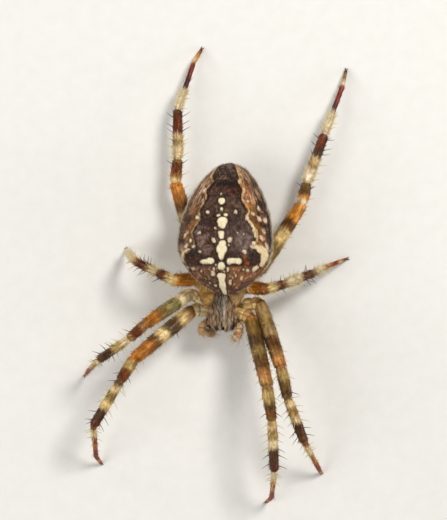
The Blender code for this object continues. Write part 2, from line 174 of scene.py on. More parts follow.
PALPS = {
    "palp_left": ((1.00, -3.98, 2.40), (1.62, -4.16, 2.75), (1.95, -4.50, 3.05),
                  (1.91, -5.00, 3.14), (1.72, -5.38, 2.80), (1.57, -5.58, 2.25)),
    "palp_right": ((-0.20, -3.98, 2.40), (-0.86, -4.14, 2.75), (-1.28, -4.48, 3.02),
                   (-1.35, -4.88, 3.14), (-0.98, -5.08, 2.86), (-0.36, -5.10, 2.50)),
}


# ==================================================================== small maths
def srgb(red, green, blue):
    """A colour as seen on a screen, 0 to 255, in the linear values that shaders take."""
    return ((np.array((red, green, blue)) / 255.0 + 0.055) / 1.055) ** 2.4


def unit(vectors):
    """The same directions with a length of 1."""
    return vectors / np.maximum(np.linalg.norm(vectors, axis=-1, keepdims=True), 1e-12)


def smooth(start, end, value):
    """0 at the start, 1 at the end and beyond, with a soft step between."""
    share = np.clip((value - start) / (end - start), 0.0, 1.0)
    return share * share * (3.0 - 2.0 * share)


def bump(value, middle, width):
    """1 at the middle, falling off to both sides."""
    return np.exp(-((value - middle) / width) ** 2)


def mix(first, second, share):
    """Two colours mixed by a share of the second at each point."""
    return first + (second - first) * np.asarray(share)[..., None]


def lit(colour, *lights):
    """A colour made darker or lighter by one or more numbers at each point."""
    for light in lights:
        colour = colour * light[..., None]
    return colour


def grained(colour, grain, depth):
    """A colour with a grain from 0 to 1 over it, that much darker or lighter at most."""
    return lit(colour, 1.0 - depth + 2.0 * depth * grain)


def stacked(*parts):
    """Arrays as the coordinates of points; single numbers are the same for all."""
    return np.stack(np.broadcast_arrays(*parts), axis=-1)


def painted(base, *coats):
    """A colour under coats of others; each coat is its colour and its share, 0 to 1."""
    colour = srgb(*base) if isinstance(base, tuple) else base
    for shade, share in coats:
        colour = mix(colour, srgb(*shade) if isinstance(shade, tuple) else shade, share)
    return colour


def rounded(value, power):
    """Sine or cosine, squared off by a superellipse power."""
    return np.sign(value) * np.abs(value) ** (2.0 / power)


def swollen(share, peak, front, rear):
    """A rise from 0 to 1 and back along a body: peak moves its top, front and rear round it."""
    share = share ** peak
    return np.sin(np.pi * share) ** np.where(share < 0.5, front, rear)


def turns(sides):
    """The angles of points spread evenly round a ring."""
    return 2.0 * np.pi * np.arange(sides) / sides


def ring_grid(stations, sides):
    """The station and the angle of every point on rings along a body."""
    return np.meshgrid(stations, turns(sides), indexing="ij")


def end_spaced(rows, end):
    """Shares of a length, closer together near both ends."""
    return (1.0 - np.cos(np.pi * np.linspace(end, 1.0 - end, rows))) / 2.0


def hashed(cell_x, cell_y, cell_z, seed):
    """A repeatable random number from 0 to 1 for every whole-numbered cell."""
    mixed = (cell_x * 73856093) ^ (cell_y * 19349663) ^ (cell_z * 83492791)
    mixed = (mixed ^ (seed * 40503 + 12345)) & 0xFFFFFFFF
    for factor, shift in ((2246822519, 15), (3266489917, 13)):
        mixed = ((mixed ^ (mixed >> shift)) * factor) & 0xFFFFFFFF
    return ((mixed ^ (mixed >> 16)) & 0xFFFFFF) / 16777216.0


def noise(points, size, seed):
    """Smooth noise from 0 to 1 whose lumps are about size across."""
    scaled = points / np.asarray(size)
    cell = np.floor(scaled).astype(np.int64)
    part = scaled - cell
    part = part * part * (3.0 - 2.0 * part)
    total = np.zeros(points.shape[:-1])
    for step in itertools.product((0, 1), repeat=3):
        weight = 1.0
        for axis in range(3):
            weight = weight * (part[..., axis] if step[axis] else 1.0 - part[..., axis])
        total += weight * hashed(*(cell[..., axis] + step[axis] for axis in range(3)), seed)
    return total


def layered(points, size, seed, layers=3):
    """Noise with finer and finer noise over it, still from 0 to 1."""
    total, weight = 0.0, 0.0
    for layer in range(layers):
        total = total + noise(points, np.asarray(size) / 2.0 ** layer, seed + layer) / 2.0 ** layer
        weight += 1.0 / 2.0 ** layer
    return total / weight


def flecks(points, size, share, seed, least, most, flat=False):
    """Round flecks scattered over the cells of a grid: 1 inside, 0 outside.

    share is the part of the cells that hold one; least and most are its radius, as
    parts of the cell's size. A flat pattern leaves the third coordinate out.
    """
    scaled = points / size
    cell = np.floor(scaled).astype(np.int64)
    if flat:
        cell[..., 2] = 0
    found = np.zeros(points.shape[:-1])
    for step in itertools.product((-1, 0, 1), (-1, 0, 1), (0,) if flat else (-1, 0, 1)):
        near = [cell[..., axis] + step[axis] for axis in range(3)]
        apart = sum((scaled[..., axis] - (near[axis] + hashed(*near, seed + 1 + axis))) ** 2
                    for axis in range(2 if flat else 3))
        radius = least + (most - least) * hashed(*near, seed + 5)
        there = hashed(*near, seed + 6) < share
        found = np.maximum(found, smooth(radius, radius * 0.55, np.sqrt(apart)) * there)
    return found


# ================================================================== skins and meshes
class Skin:
    """A closed surface as rings of points, with what hair needs to grow on it."""

    def __init__(self, points, coat=0.0):
        self.points = points
        self.measure()
        if coat:
            self.push(-coat * np.ones(points.shape[:2]))
        self.colour = np.zeros(points.shape)
        self.gloss = np.full(points.shape[:2], 0.5)

    def measure(self):
        forward = np.gradient(self.points, axis=0)
        across = (np.roll(self.points, -1, 1) - np.roll(self.points, 1, 1)) / 2.0
        normal = np.cross(across, forward)
        middle = self.points.mean(axis=1, keepdims=True)
        self.inside_out = np.sum(normal * (self.points - middle)) < 0.0
        if self.inside_out:
            normal = -normal
        self.area = np.linalg.norm(normal, axis=-1)
        self.normal = unit(normal)
        self.along = unit(forward)

    def push(self, amount):
        """Moves the surface out along its normals by amount at each point."""
        self.points = self.points + self.normal * amount[..., None]
        self.measure()

    def ruffle(self, depth, size, seed):
        """Raises and lowers the surface by a little noise."""
        self.push(depth * (layered(self.points, size, seed) - 0.5))

    def shares(self, tile=None):
        """Each point's place on the skin's unwrap, or on one of the tiles of a square."""
        rows, sides = self.points.shape[:2]
        grid = stacked((np.arange(sides) + 0.5) / sides, np.linspace(0.0, 1.0, rows)[:, None])
        grid = UV_MARGIN + (1.0 - 2.0 * UV_MARGIN) * grid
        if tile is not None:
            grid = (grid + np.array((tile % TILES, tile // TILES))) / TILES
        return grid

    def pick(self, count, chance):
        """Random places, as row and column numbers, more where chance is high."""
        weight = self.area * np.clip(chance, 0.0, None)
        weight = weight.ravel() / weight.sum()
        chosen = rng.choice(weight.size, size=count, replace=False, p=weight)
        return np.unravel_index(chosen, self.area.shape)


def placed(name, data):
    """A new object with the given mesh, light or camera."""
    made = bpy.data.objects.new(name, data)
    bpy.context.scene.collection.objects.link(made)
    return made


def mesh_piece(name, points, faces, corner_uvs, colours, material, replaces=()):
    """One mesh object from arrays. faces is a list of arrays of equal-sided faces."""
    mesh = bpy.data.meshes.new(name)
    mesh.vertices.add(len(points))
    mesh.vertices.foreach_set("co", ((points + SHIFT) * MM).astype(np.float32).ravel())
    corners = np.concatenate([part.ravel() for part in faces])
    counts = np.concatenate([np.full(len(part), part.shape[1]) for part in faces])
    starts = np.concatenate(([0], np.cumsum(counts)[:-1]))
    mesh.loops.add(len(corners))
    mesh.loops.foreach_set("vertex_index", corners.astype(np.int32))
    mesh.polygons.add(len(counts))
    mesh.polygons.foreach_set("loop_start", starts.astype(np.int32))
    mesh.update(calc_edges=True)
    mesh.shade_smooth()
    layer = mesh.uv_layers.new(name="OFBake")
    layer.data.foreach_set("uv", corner_uvs.astype(np.float32).ravel())
    paint = mesh.color_attributes.new("Markings", "FLOAT_COLOR", "POINT")
    paint.data.foreach_set("color", colours.astype(np.float32).ravel())
    mesh.materials.append(MATERIALS[material])
    piece = placed(name, mesh)
    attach(piece, "root")
    if replaces:
        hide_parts(*replaces)


def skin_piece(name, skin, material, replaces=()):
    """A skin as a mesh: quads between its rings and a fan over each end."""
    rows, sides = skin.points.shape[:2]
    row, here = np.arange(rows - 1)[:, None], np.arange(sides)
    quads, quad_uvs, fans, fan_uvs = [], [], [], []
    for up, over in ((0, 0), (0, 1), (1, 1), (1, 0)):
        quads.append((row + up) * sides + (here + over) % sides)
        quad_uvs.append(stacked((here + over) / sides, (row + up) / (rows - 1.0)))
    quads = np.stack(quads, axis=-1).reshape(-1, 4)
    quad_uvs = np.stack(quad_uvs, axis=2).reshape(-1, 4, 2)
    for end, order in ((0, (1, 0)), (1, (0, 1))):
        ring = end * (rows - 1) * sides
        fans.append(stacked(rows * sides + end, *(ring + (here + over) % sides for over in order)))
        shares = ((here / sides + (here + 1.0) / sides) / 2.0,
                  *((here + over) / sides for over in order))
        fan_uvs.append(stacked(stacked(*shares), end))
    fans, fan_uvs = np.concatenate(fans), np.concatenate(fan_uvs)
    if not skin.inside_out:
        quads, quad_uvs, fans, fan_uvs = (part[:, ::-1] for part in (quads, quad_uvs, fans, fan_uvs))

    def with_centres(grid):
        return np.concatenate((grid.reshape(-1, grid.shape[-1]), grid[:1].mean(axis=1),
                               grid[-1:].mean(axis=1)))

    paint = np.concatenate((skin.colour, skin.gloss[..., None]), axis=-1)
    uvs = np.concatenate((quad_uvs.reshape(-1, 2), fan_uvs.reshape(-1, 2)))
    mesh_piece(name, with_centres(skin.points), [quads, fans],
               UV_MARGIN + (1.0 - 2.0 * UV_MARGIN) * uvs, with_centres(paint), material, replaces)


class Hairs:
    """Gathers bent, tapering hairs and makes them one mesh."""

    def __init__(self, rings=(0.0, 0.5), sides=3):
        self.rings = rings
        self.sides = sides
        self.points, self.colours, self.uvs = [], [], []

    def grow(self, skin, spot, uvs, length, radius, lift, droop, colour, tip_colour,
             sway=0.25, lean=0.0, way=1.0):
        """Adds hairs at spot, the row and column numbers of points on a skin.

        They rise by lift degrees over the skin's own length, or its other way where way
        is -1, turned by lean. droop is how far the tip bends back, 0 to 1; sway turns each
        hair a little at random. The rest are one value for all, or one for each hair.
        """
        normals = skin.normal[spot]
        lies = skin.along[spot] * way + lean
        count = len(normals)
        lies = unit(lies + sway * rng.normal(size=(count, 3)))
        lies = unit(lies - normals * np.sum(lies * normals, axis=-1, keepdims=True))
        lift, length, radius = (np.broadcast_to(value, count)[:, None]
                                for value in (np.radians(lift), length, radius))
        start = lies * np.cos(lift) + normals * np.sin(lift)
        end = unit(start * (1.0 - droop) + lies * droop)
        side_one = unit(np.cross(start, normals + 0.01 * UP))
        side_two = np.cross(start, side_one)
        base = skin.points[spot] - normals * radius * HAIR_ROOT

        def centre(share):
            return base + length * (start * share + (end - start) * share * share / 2.0)

        rows, shades = [], []
        for share in self.rings:
            width = radius * (1.0 - share) ** HAIR_TAPER
            for number in range(self.sides):
                turn = 2.0 * math.pi * number / self.sides
                rows.append(centre(share)
                            + width * (side_one * math.cos(turn) + side_two * math.sin(turn)))
                shades.append(mix(colour, tip_colour, np.full(count, share)))
        rows.append(centre(1.0))
        shades.append(tip_colour)
        self.points.append(np.stack(rows, axis=1))
        self.colours.append(np.stack([np.broadcast_to(shade, (count, 3)) for shade in shades],
                                     axis=1))
        self.uvs.append(uvs[spot])

    def piece(self, name, slot):
        points, colours, roots = (np.concatenate(part)
                                  for part in (self.points, self.colours, self.uvs))
        count, size = points.shape[:2]
        sides, top = self.sides, (len(self.rings) - 1) * self.sides
        quads = [(low + number, low + (number + 1) % sides, low + sides + (number + 1) % sides,
                  low + sides + number) for low in range(0, top, sides) for number in range(sides)]
        triangles = [(top + number, top + (number + 1) % sides, size - 1) for number in range(sides)]
        triangles += [(0, number + 1, number) for number in range(1, sides - 1)]
        patch = [(number / (sides - 1.0) - 0.5, share - 0.5)
                 for share in self.rings for number in range(sides)] + [(0.0, 0.5)]
        offset = (np.arange(count) * size)[:, None, None]
        quads = (np.array(quads) + offset).reshape(-1, 4)
        triangles = (np.array(triangles) + offset).reshape(-1, 3)
        uvs = (roots[:, None, :] + HAIR_PATCH * np.array(patch)).reshape(-1, 2)
        corner_uvs = np.concatenate((uvs[quads.ravel()], uvs[triangles.ravel()]))
        paint = np.concatenate((colours.reshape(-1, 3), np.full((count * size, 1), 0.5)), axis=-1)
        mesh_piece(name, points.reshape(-1, 3), [quads, triangles], corner_uvs, paint, "hair")


# ====================================================================== materials
def feed(tree, made, inputs):
    """Sets a node's inputs: from another node's output, or to a value."""
    for name, value in inputs.items():
        if isinstance(value, bpy.types.NodeSocket):
            tree.links.new(value, made.inputs[name])
        else:
            made.inputs[name].default_value = value


def node(tree, kind, inputs, **values):
    made = tree.nodes.new("ShaderNode" + kind)
    for name, value in values.items():
        setattr(made, name, value)
    feed(tree, made, inputs)
    return made


def new_material(name):
    """A material with its node tree, its main shader and the place on the object."""
    mat = bpy.data.materials.new(name)
    mat.use_nodes = True
    tree = mat.node_tree
    return mat, tree, tree.nodes["Principled BSDF"], node(tree, "TexCoord", {}).outputs["Object"]


def markings_material(name, roughness, specular, grain, grain_depth, tint, coat=0.0, soft=0.0):
    """Chitin or hair: the painted markings, mottled a little, with a fine grain.

    roughness is (glossy, dull), chosen by the markings' alpha. grain is the size of
    the surface grain in mm.
    """
    mat, tree, shader, place = new_material(name)
    paint = node(tree, "Attribute", {}, attribute_name="Markings")
    mottle = node(tree, "TexNoise", {"Vector": place, "Scale": 1.0 / (4.0 * grain * MM),
                                     "Detail": 3.0})
    light = node(tree, "MapRange", {"Value": mottle.outputs["Fac"], "To Min": 1.0 - tint,
                                    "To Max": 1.0 + tint})
    shade = node(tree, "VectorMath", {0: paint.outputs["Color"],
                                      "Scale": light.outputs["Result"]}, operation="SCALE")
    dull = node(tree, "MapRange", {"Value": paint.outputs["Alpha"], "To Min": roughness[1],
                                   "To Max": roughness[0]})
    fine = node(tree, "TexNoise", {"Vector": place, "Scale": 1.0 / (grain * MM), "Detail": 4.0,
                                   "Roughness": 0.6})
    relief = node(tree, "Bump", {"Height": fine.outputs["Fac"], "Strength": grain_depth,
                                 "Distance": 0.5 * grain * MM})
    feed(tree, shader, {"Base Color": shade.outputs["Vector"], "Roughness": dull.outputs["Result"],
                        "Normal": relief.outputs["Normal"], "Specular IOR Level": specular,
                        "Coat Weight": coat, "Coat Roughness": 0.25})
    if soft:
        feed(tree, shader, {"Subsurface Weight": soft, "Subsurface Radius": (1.0, 0.45, 0.2),
                            "Subsurface Scale": 0.25 * MM})
    return mat


MATERIALS = {
    "abdomen": markings_material("abdomen skin", (0.30, 0.55), 0.16, 0.07, 0.50, 0.20),
    "carapace": markings_material("carapace", (0.24, 0.48), 0.28, 0.05, 0.35, 0.14),
    "leg": markings_material("leg skin", (0.22, 0.42), 0.17, 0.05, 0.35, 0.16, soft=0.06),
    "hair": markings_material("hair", (0.35, 0.50), 0.07, 0.10, 0.05, 0.10),
    "jaw": markings_material("jaw", (0.20, 0.35), 0.40, 0.06, 0.20, 0.10),
    "claw": markings_material("claw", (0.18, 0.30), 0.5, 0.05, 0.10, 0.10),
    "eye": markings_material("eye", (0.10, 0.20), 0.35, 0.20, 0.02, 0.10, coat=0.15),
}


# ======================================================================= abdomen
CREAM = srgb(230, 215, 180)
DEEP_BROWN = srgb(64, 41, 31)
BLACK_BROWN = srgb(31, 19, 15)
PLUM_BROWN = srgb(104, 80, 70)
LINE_CREAM = srgb(208, 180, 130)
ROSE_CREAM = srgb(232, 202, 174)
VIOLET_GREY = srgb(98, 72, 78)
RUST_SPOT = srgb(160, 82, 34)

# the folium, the dark leaf-shaped figure: its wavy edges, as (across, back)
FOLIUM_LEFT = ((-2.52, 0.79), (-2.79, 1.23), (-2.74, 1.75), (-1.82, 2.19), (-2.09, 3.67),
               (-1.39, 4.72), (-1.47, 5.51), (-0.82, 6.56), (-0.91, 7.17), (-0.29, 7.96),
               (-0.38, 8.48), (0.01, 9.14), (0.20, 9.50))
FOLIUM_RIGHT = ((3.25, 0.61), (3.73, 0.96), (3.77, 1.58), (3.16, 2.27), (3.34, 3.24),
                (3.25, 3.76), (2.37, 4.90), (2.64, 5.42), (2.02, 6.56), (2.20, 7.26),
                (1.76, 7.96), (1.89, 8.31), (1.59, 9.18), (1.40, 9.50))

# the white cross: each spot is one or more ovals that flow together, given as
# (across, back), (width, length), turn in degrees, squareness
CROSS = (
    (((0.40, 6.30), (0.54, 0.52), 12, 2.8),),
    (((0.40, 5.60), (0.22, 0.32), 0, 2.0),),
    (((0.10, 5.06), (0.34, 0.20), 10, 2.0),),
    (((0.74, 5.13), (0.34, 0.22), -8, 2.0),),
    (((0.45, 4.62), (0.86, 0.58), 0, 2.4), ((0.44, 4.30), (0.62, 0.72), 0, 2.0)),
    (((0.36, 3.58), (0.48, 0.32), 0, 2.4), ((0.37, 3.24), (0.42, 0.38), 0, 2.2)),
    (((0.46, 2.66), (0.56, 0.56), 0, 2.2), ((0.40, 2.18), (0.90, 0.86), 0, 2.0),
     ((0.36, 1.72), (0.48, 0.96), 0, 2.0)),
    (((-0.56, 1.17), (0.62, 0.50), 0, 2.6), ((-0.98, 1.10), (0.96, 0.36), 4, 2.2)),
    (((1.06, 1.12), (0.34, 0.46), -10, 2.4), ((1.45, 1.17), (0.96, 0.44), 0, 2.8),
     ((1.90, 1.12), (0.38, 0.48), 15, 2.4)),
    (((0.38, 0.71), (0.58, 0.68), 0, 2.3),),
    (((0.36, -0.12), (0.70, 0.46), 0, 2.6), ((0.40, -0.50), (0.46, 0.70), 4, 2.4),
     ((0.48, -0.92), (0.54, 0.66), 10, 2.4), ((0.62, -1.40), (0.36, 0.70), 20, 2.0)),
)
SMALL_SPOTS = (
    ((-0.29, 2.89), (0.40, 0.54), 25), ((1.10, 2.96), (0.40, 0.42), -20),
    ((-0.19, 3.98), (0.23, 0.31), 20), ((0.96, 4.02), (0.13, 0.20), 0),
    ((-0.78, 5.32), (0.31, 0.37), 0), ((1.63, 5.34), (0.32, 0.40), 0),
    ((-1.52, 3.54), (0.40, 0.26), 45), ((-2.26, 2.93), (0.20, 0.31), 0),
    ((-2.02, 2.41), (0.24, 0.18), 20), ((-1.49, 1.94), (0.28, 0.27), 0),
    ((2.35, 1.94), (0.32, 0.34), 0), ((1.02, 2.54), (0.17, 0.17), 0),
    ((-0.12, 0.83), (0.17, 0.20), 0), ((0.93, 0.53), (0.18, 0.18), 0),
    ((-0.25, 0.48), (0.22, 0.31), 0), ((-0.31, 0.04), (0.37, 0.54), 20),
    ((0.58, 0.28), (0.18, 0.13), 0), ((0.96, 0.29), (0.17, 0.17), 0),
    ((-1.34, 0.29), (0.24, 0.36), 10), ((-2.02, 0.48), (0.28, 0.34), 20),
    ((-2.48, 0.61), (0.20, 0.30), 20), ((2.61, 0.37), (0.36, 0.32), -30),
    ((3.25, 0.48), (0.68, 0.42), 30), ((1.15, -0.74), (0.24, 0.50), 0),
    ((-0.12, -0.96), (0.24, 0.37), 20), ((0.28, 6.87), (0.22, 0.13), 30),
    ((0.71, 6.89), (0.22, 0.12), -20), ((3.16, 2.71), (0.37, 0.31), 20),
    ((-1.69, 4.90), (0.36, 0.32), 0), ((1.72, 3.62), (0.18, 0.13), 0),
    ((2.30, 3.50), (0.16, 0.18), 0), ((-0.62, -0.72), (0.18, 0.22), 20),
    ((1.62, -0.15), (0.14, 0.20), 0), ((2.27, 0.45), (0.14, 0.18), 0),
    ((-0.98, -0.30), (0.16, 0.20), 0),
)
ROSE_SPOTS = (
    ((4.13, 4.60), (0.32, 0.38), 10), ((3.60, 4.78), (0.22, 0.46), 35),
    ((3.11, 5.24), (0.22, 0.24), 20), ((3.96, 3.74), (0.22, 0.44), 35),
    ((3.91, 3.07), (0.24, 0.44), 40), ((4.29, 2.38), (0.22, 0.66), 26),
    ((3.58, 5.67), (0.16, 0.32), 30), ((4.34, 5.55), (0.14, 0.28), 30),
    ((2.63, 6.30), (0.22, 0.15), 0), ((2.56, 6.81), (0.14, 0.16), 0),
    ((2.55, 4.82), (0.38, 0.36), 0), ((2.07, -0.31), (0.31, 0.35), 0),
    ((-2.62, 2.45), (0.22, 0.36), -35), ((-2.70, 3.40), (0.16, 0.40), -35),
    ((-3.55, 2.55), (0.20, 0.34), -20), ((-1.10, 7.20), (0.24, 0.44), -30),
)
CRESCENTS = (
    # points along a line, its width
    (((3.00, 2.42), (3.62, 2.32), (4.02, 2.06), (4.16, 1.62), (4.00, 1.10), (3.80, 0.80)), 0.34),
    (((3.72, 2.18), (4.02, 1.98), (4.12, 1.66), (4.04, 1.34)), 0.62),
    (((2.81, 4.55), (3.16, 3.95), (3.30, 3.24)), 0.22),
    (((-2.45, 2.16), (-2.88, 1.92), (-3.02, 1.55), (-2.90, 1.10)), 0.17),
)
FLANK_BLOTS = (
    # (across, back), (width, length), turn, shade, share
    ((2.45, 7.20), (0.80, 1.70), 12, srgb(156, 102, 66), 0.70),
    ((2.75, 5.95), (0.45, 0.80), 20, srgb(168, 112, 50), 0.75),
    ((2.62, 6.90), (0.26, 0.36), 0, srgb(150, 70, 40), 0.70),
    ((2.40, 7.55), (0.20, 0.28), 0, srgb(140, 66, 40), 0.60),
    ((3.18, 7.75), (0.50, 0.90), 30, BLACK_BROWN, 0.75),
    ((3.80, 6.00), (0.70, 0.90), 30, BLACK_BROWN, 0.90),
    ((3.40, 5.75), (0.36, 0.50), 0, DEEP_BROWN, 0.80),
    ((4.30, 5.15), (0.50, 0.60), 25, BLACK_BROWN, 0.90),
    ((4.14, 4.14), (0.62, 0.50), 30, BLACK_BROWN, 0.95),
    ((4.52, 4.40), (0.30, 0.60), 15, BLACK_BROWN, 0.85),
    ((4.50, 3.20), (0.44, 0.90), 12, BLACK_BROWN, 0.95),
    ((3.90, 4.95), (0.50, 0.40), 20, srgb(146, 108, 82), 0.60),
    ((3.56, 3.05), (0.34, 0.60), 30, srgb(64, 30, 22), 0.85),
    ((4.00, 2.80), (0.36, 0.40), 30, BLACK_BROWN, 0.80),
    ((-2.75, 5.10), (0.30, 0.90), -35, DEEP_BROWN, 0.60),
    ((-3.20, 3.70), (0.30, 0.80), -30, DEEP_BROWN, 0.60),
)
# how light the folium's field is along the back: (back, light); the rise over the shoulders, 2.2 to 3.9,
# is partly the field's own paler tone and partly painted sheen
FIELD_LIGHT = ((0.6, 0.45), (1.2, 0.25), (1.8, 0.35), (2.2, 0.78), (2.9, 0.92), (3.9, 0.80),
               (4.35, 0.35), (4.7, 0.10), (5.0, 0.24), (5.3, 0.78), (6.2, 0.66), (6.9, 0.50),
               (7.2, 0.34))
# pairs of small pits in the back: (back, half the distance apart, depth)
MUSCLE_PITS = ((5.95, 1.05, 0.10), (3.95, 1.40, 0.14), (2.25, 1.10, 0.08), (0.9, 1.6, 0.06))


def abdomen_surface(t, angle):
    """Egg shape along the abdomen's own axis: broad shoulders and a blunt point in front."""
    side = np.cos(angle) * ABDOMEN_HALF_WIDTH * swollen(t, *WIDTH_RUN)
    top = ABDOMEN_TOP_HEIGHT * swollen(t, *TOP_RUN) * rounded(np.sin(angle), TOP_SQUARENESS)
    belly = ABDOMEN_BELLY_DEPTH * swollen(t, *BELLY_RUN) * rounded(np.sin(angle), BELLY_SQUARENESS)
    lift = np.where(np.sin(angle) >= 0.0, top, belly)
    for hump_side in (-1.0, 1.0):
        near = np.exp(-((side - hump_side * HUMP_OUT) / HUMP_HALF_WIDTH) ** 2
                      - ((t - HUMP_SHARE) / HUMP_HALF_SHARE) ** 2)
        lift = lift + np.where(lift > 0.0, HUMP_HEIGHT * near, 0.0)
    centre = ABDOMEN_CENTRE_FRONT + (ABDOMEN_CENTRE_REAR - ABDOMEN_CENTRE_FRONT) * t
    rolled_side = side * math.cos(ABDOMEN_ROLL) - lift * math.sin(ABDOMEN_ROLL)
    rolled_lift = lift * math.cos(ABDOMEN_ROLL) + side * math.sin(ABDOMEN_ROLL)
    along = t * ABDOMEN_LENGTH
    lean = ABDOMEN_LEAN * np.clip(1.0 - along / ABDOMEN_LEAN_LENGTH, 0.0, 1.0) ** 2
    return stacked(
        ABDOMEN_FRONT[0] + along * math.sin(ABDOMEN_YAW) + rolled_side * math.cos(ABDOMEN_YAW) + lean,
        ABDOMEN_FRONT[1] + along * math.cos(ABDOMEN_YAW) - rolled_side * math.sin(ABDOMEN_YAW),
        centre + rolled_lift)


def plan(points):
    """Where points fall on the plan of the back, seen from the camera's height."""
    middle = np.array((CAMERA_X, CAMERA_Y))
    nearer = 1.0 + (points[..., 2:] - BODY_HEIGHT) / CAMERA_DISTANCE
    return middle + (points[..., :2] - middle) * nearer


def oval_distance(place, centre, size, turn=0.0, power=2.0):
    """Roughly how far outside an oval on the plan a place is; below zero inside."""
    angle = math.radians(turn)
    right, back = place[..., 0] - centre[0], place[..., 1] - centre[1]
    across = (right * math.cos(angle) + back * math.sin(angle)) / (size[0] / 2.0)
    along = (back * math.cos(angle) - right * math.sin(angle)) / (size[1] / 2.0)
    reach = (np.abs(across) ** power + np.abs(along) ** power) ** (1.0 / power)
    return (reach - 1.0) * min(size) / 2.0


def oval(place, centre, size, turn=0.0, power=2.0, edge=0.05, ragged=0.0):
    """1 inside an oval on the plan, 0 outside, with an edge that wide in mm."""
    return smooth(edge, -edge, oval_distance(place, centre, size, turn, power) + ragged)


def blob_distance(place, ovals, blend=0.06):
    """Distance to a few ovals that flow together into one blob."""
    total = sum(np.exp(-np.clip(oval_distance(place, *one), -0.5, 2.0) / blend) for one in ovals)
    return -blend * np.log(total)


def line(place, points, width, edge=0.05, ragged=0.0):
    """1 within half the width of a bent line through points on the plan."""
    nearest = np.full(place.shape[:-1], 99.0)
    for first, second in zip(points[:-1], points[1:]):
        start, run = np.array(first), np.array(second) - np.array(first)
        share = np.clip(((place - start) @ run) / (run @ run), 0.0, 1.0)
        nearest = np.minimum(nearest, np.linalg.norm(place - start - share[..., None] * run,
                                                     axis=-1))
    return smooth(edge, -edge, nearest - width / 2.0 + ragged)


def folium_depth(place, ragged):
    """How far inside the folium a place is, in mm; below zero outside."""
    back = place[..., 1]
    left, right = (np.interp(back, *np.transpose(edge)[::-1]) for edge in (FOLIUM_LEFT, FOLIUM_RIGHT))
    return np.minimum(place[..., 0] - left, right - place[..., 0]) + ragged


def abdomen_places(points, t, angle):
    """What the abdomen's painters want to know about every point of its skin."""
    place = plan(points)
    across, back = place[..., 0], place[..., 1]
    ragged = (layered(points, 0.22, 31) - 0.5) * 0.16
    off_middle = across - (0.42 + 0.006 * back * back)
    left, away = off_middle > 0.0, np.abs(off_middle)
    slanting = stacked(back + 0.85 * away, back - 0.85 * away, np.where(left, 40.0, 0.0))
    return SimpleNamespace(
        points=points, t=t, angle=angle, height=np.sin(angle), place=place, across=across,
        back=back, off_middle=off_middle, left=left, ragged=ragged,
        slanting=slanting + ragged[..., None] * 1.2,
        on_plan=stacked(across, back, 0.0),
        grain=layered(points, 0.16, 41), clouds=layered(points, 0.45, 35),
        lumps=layered(points, 0.8, 51))


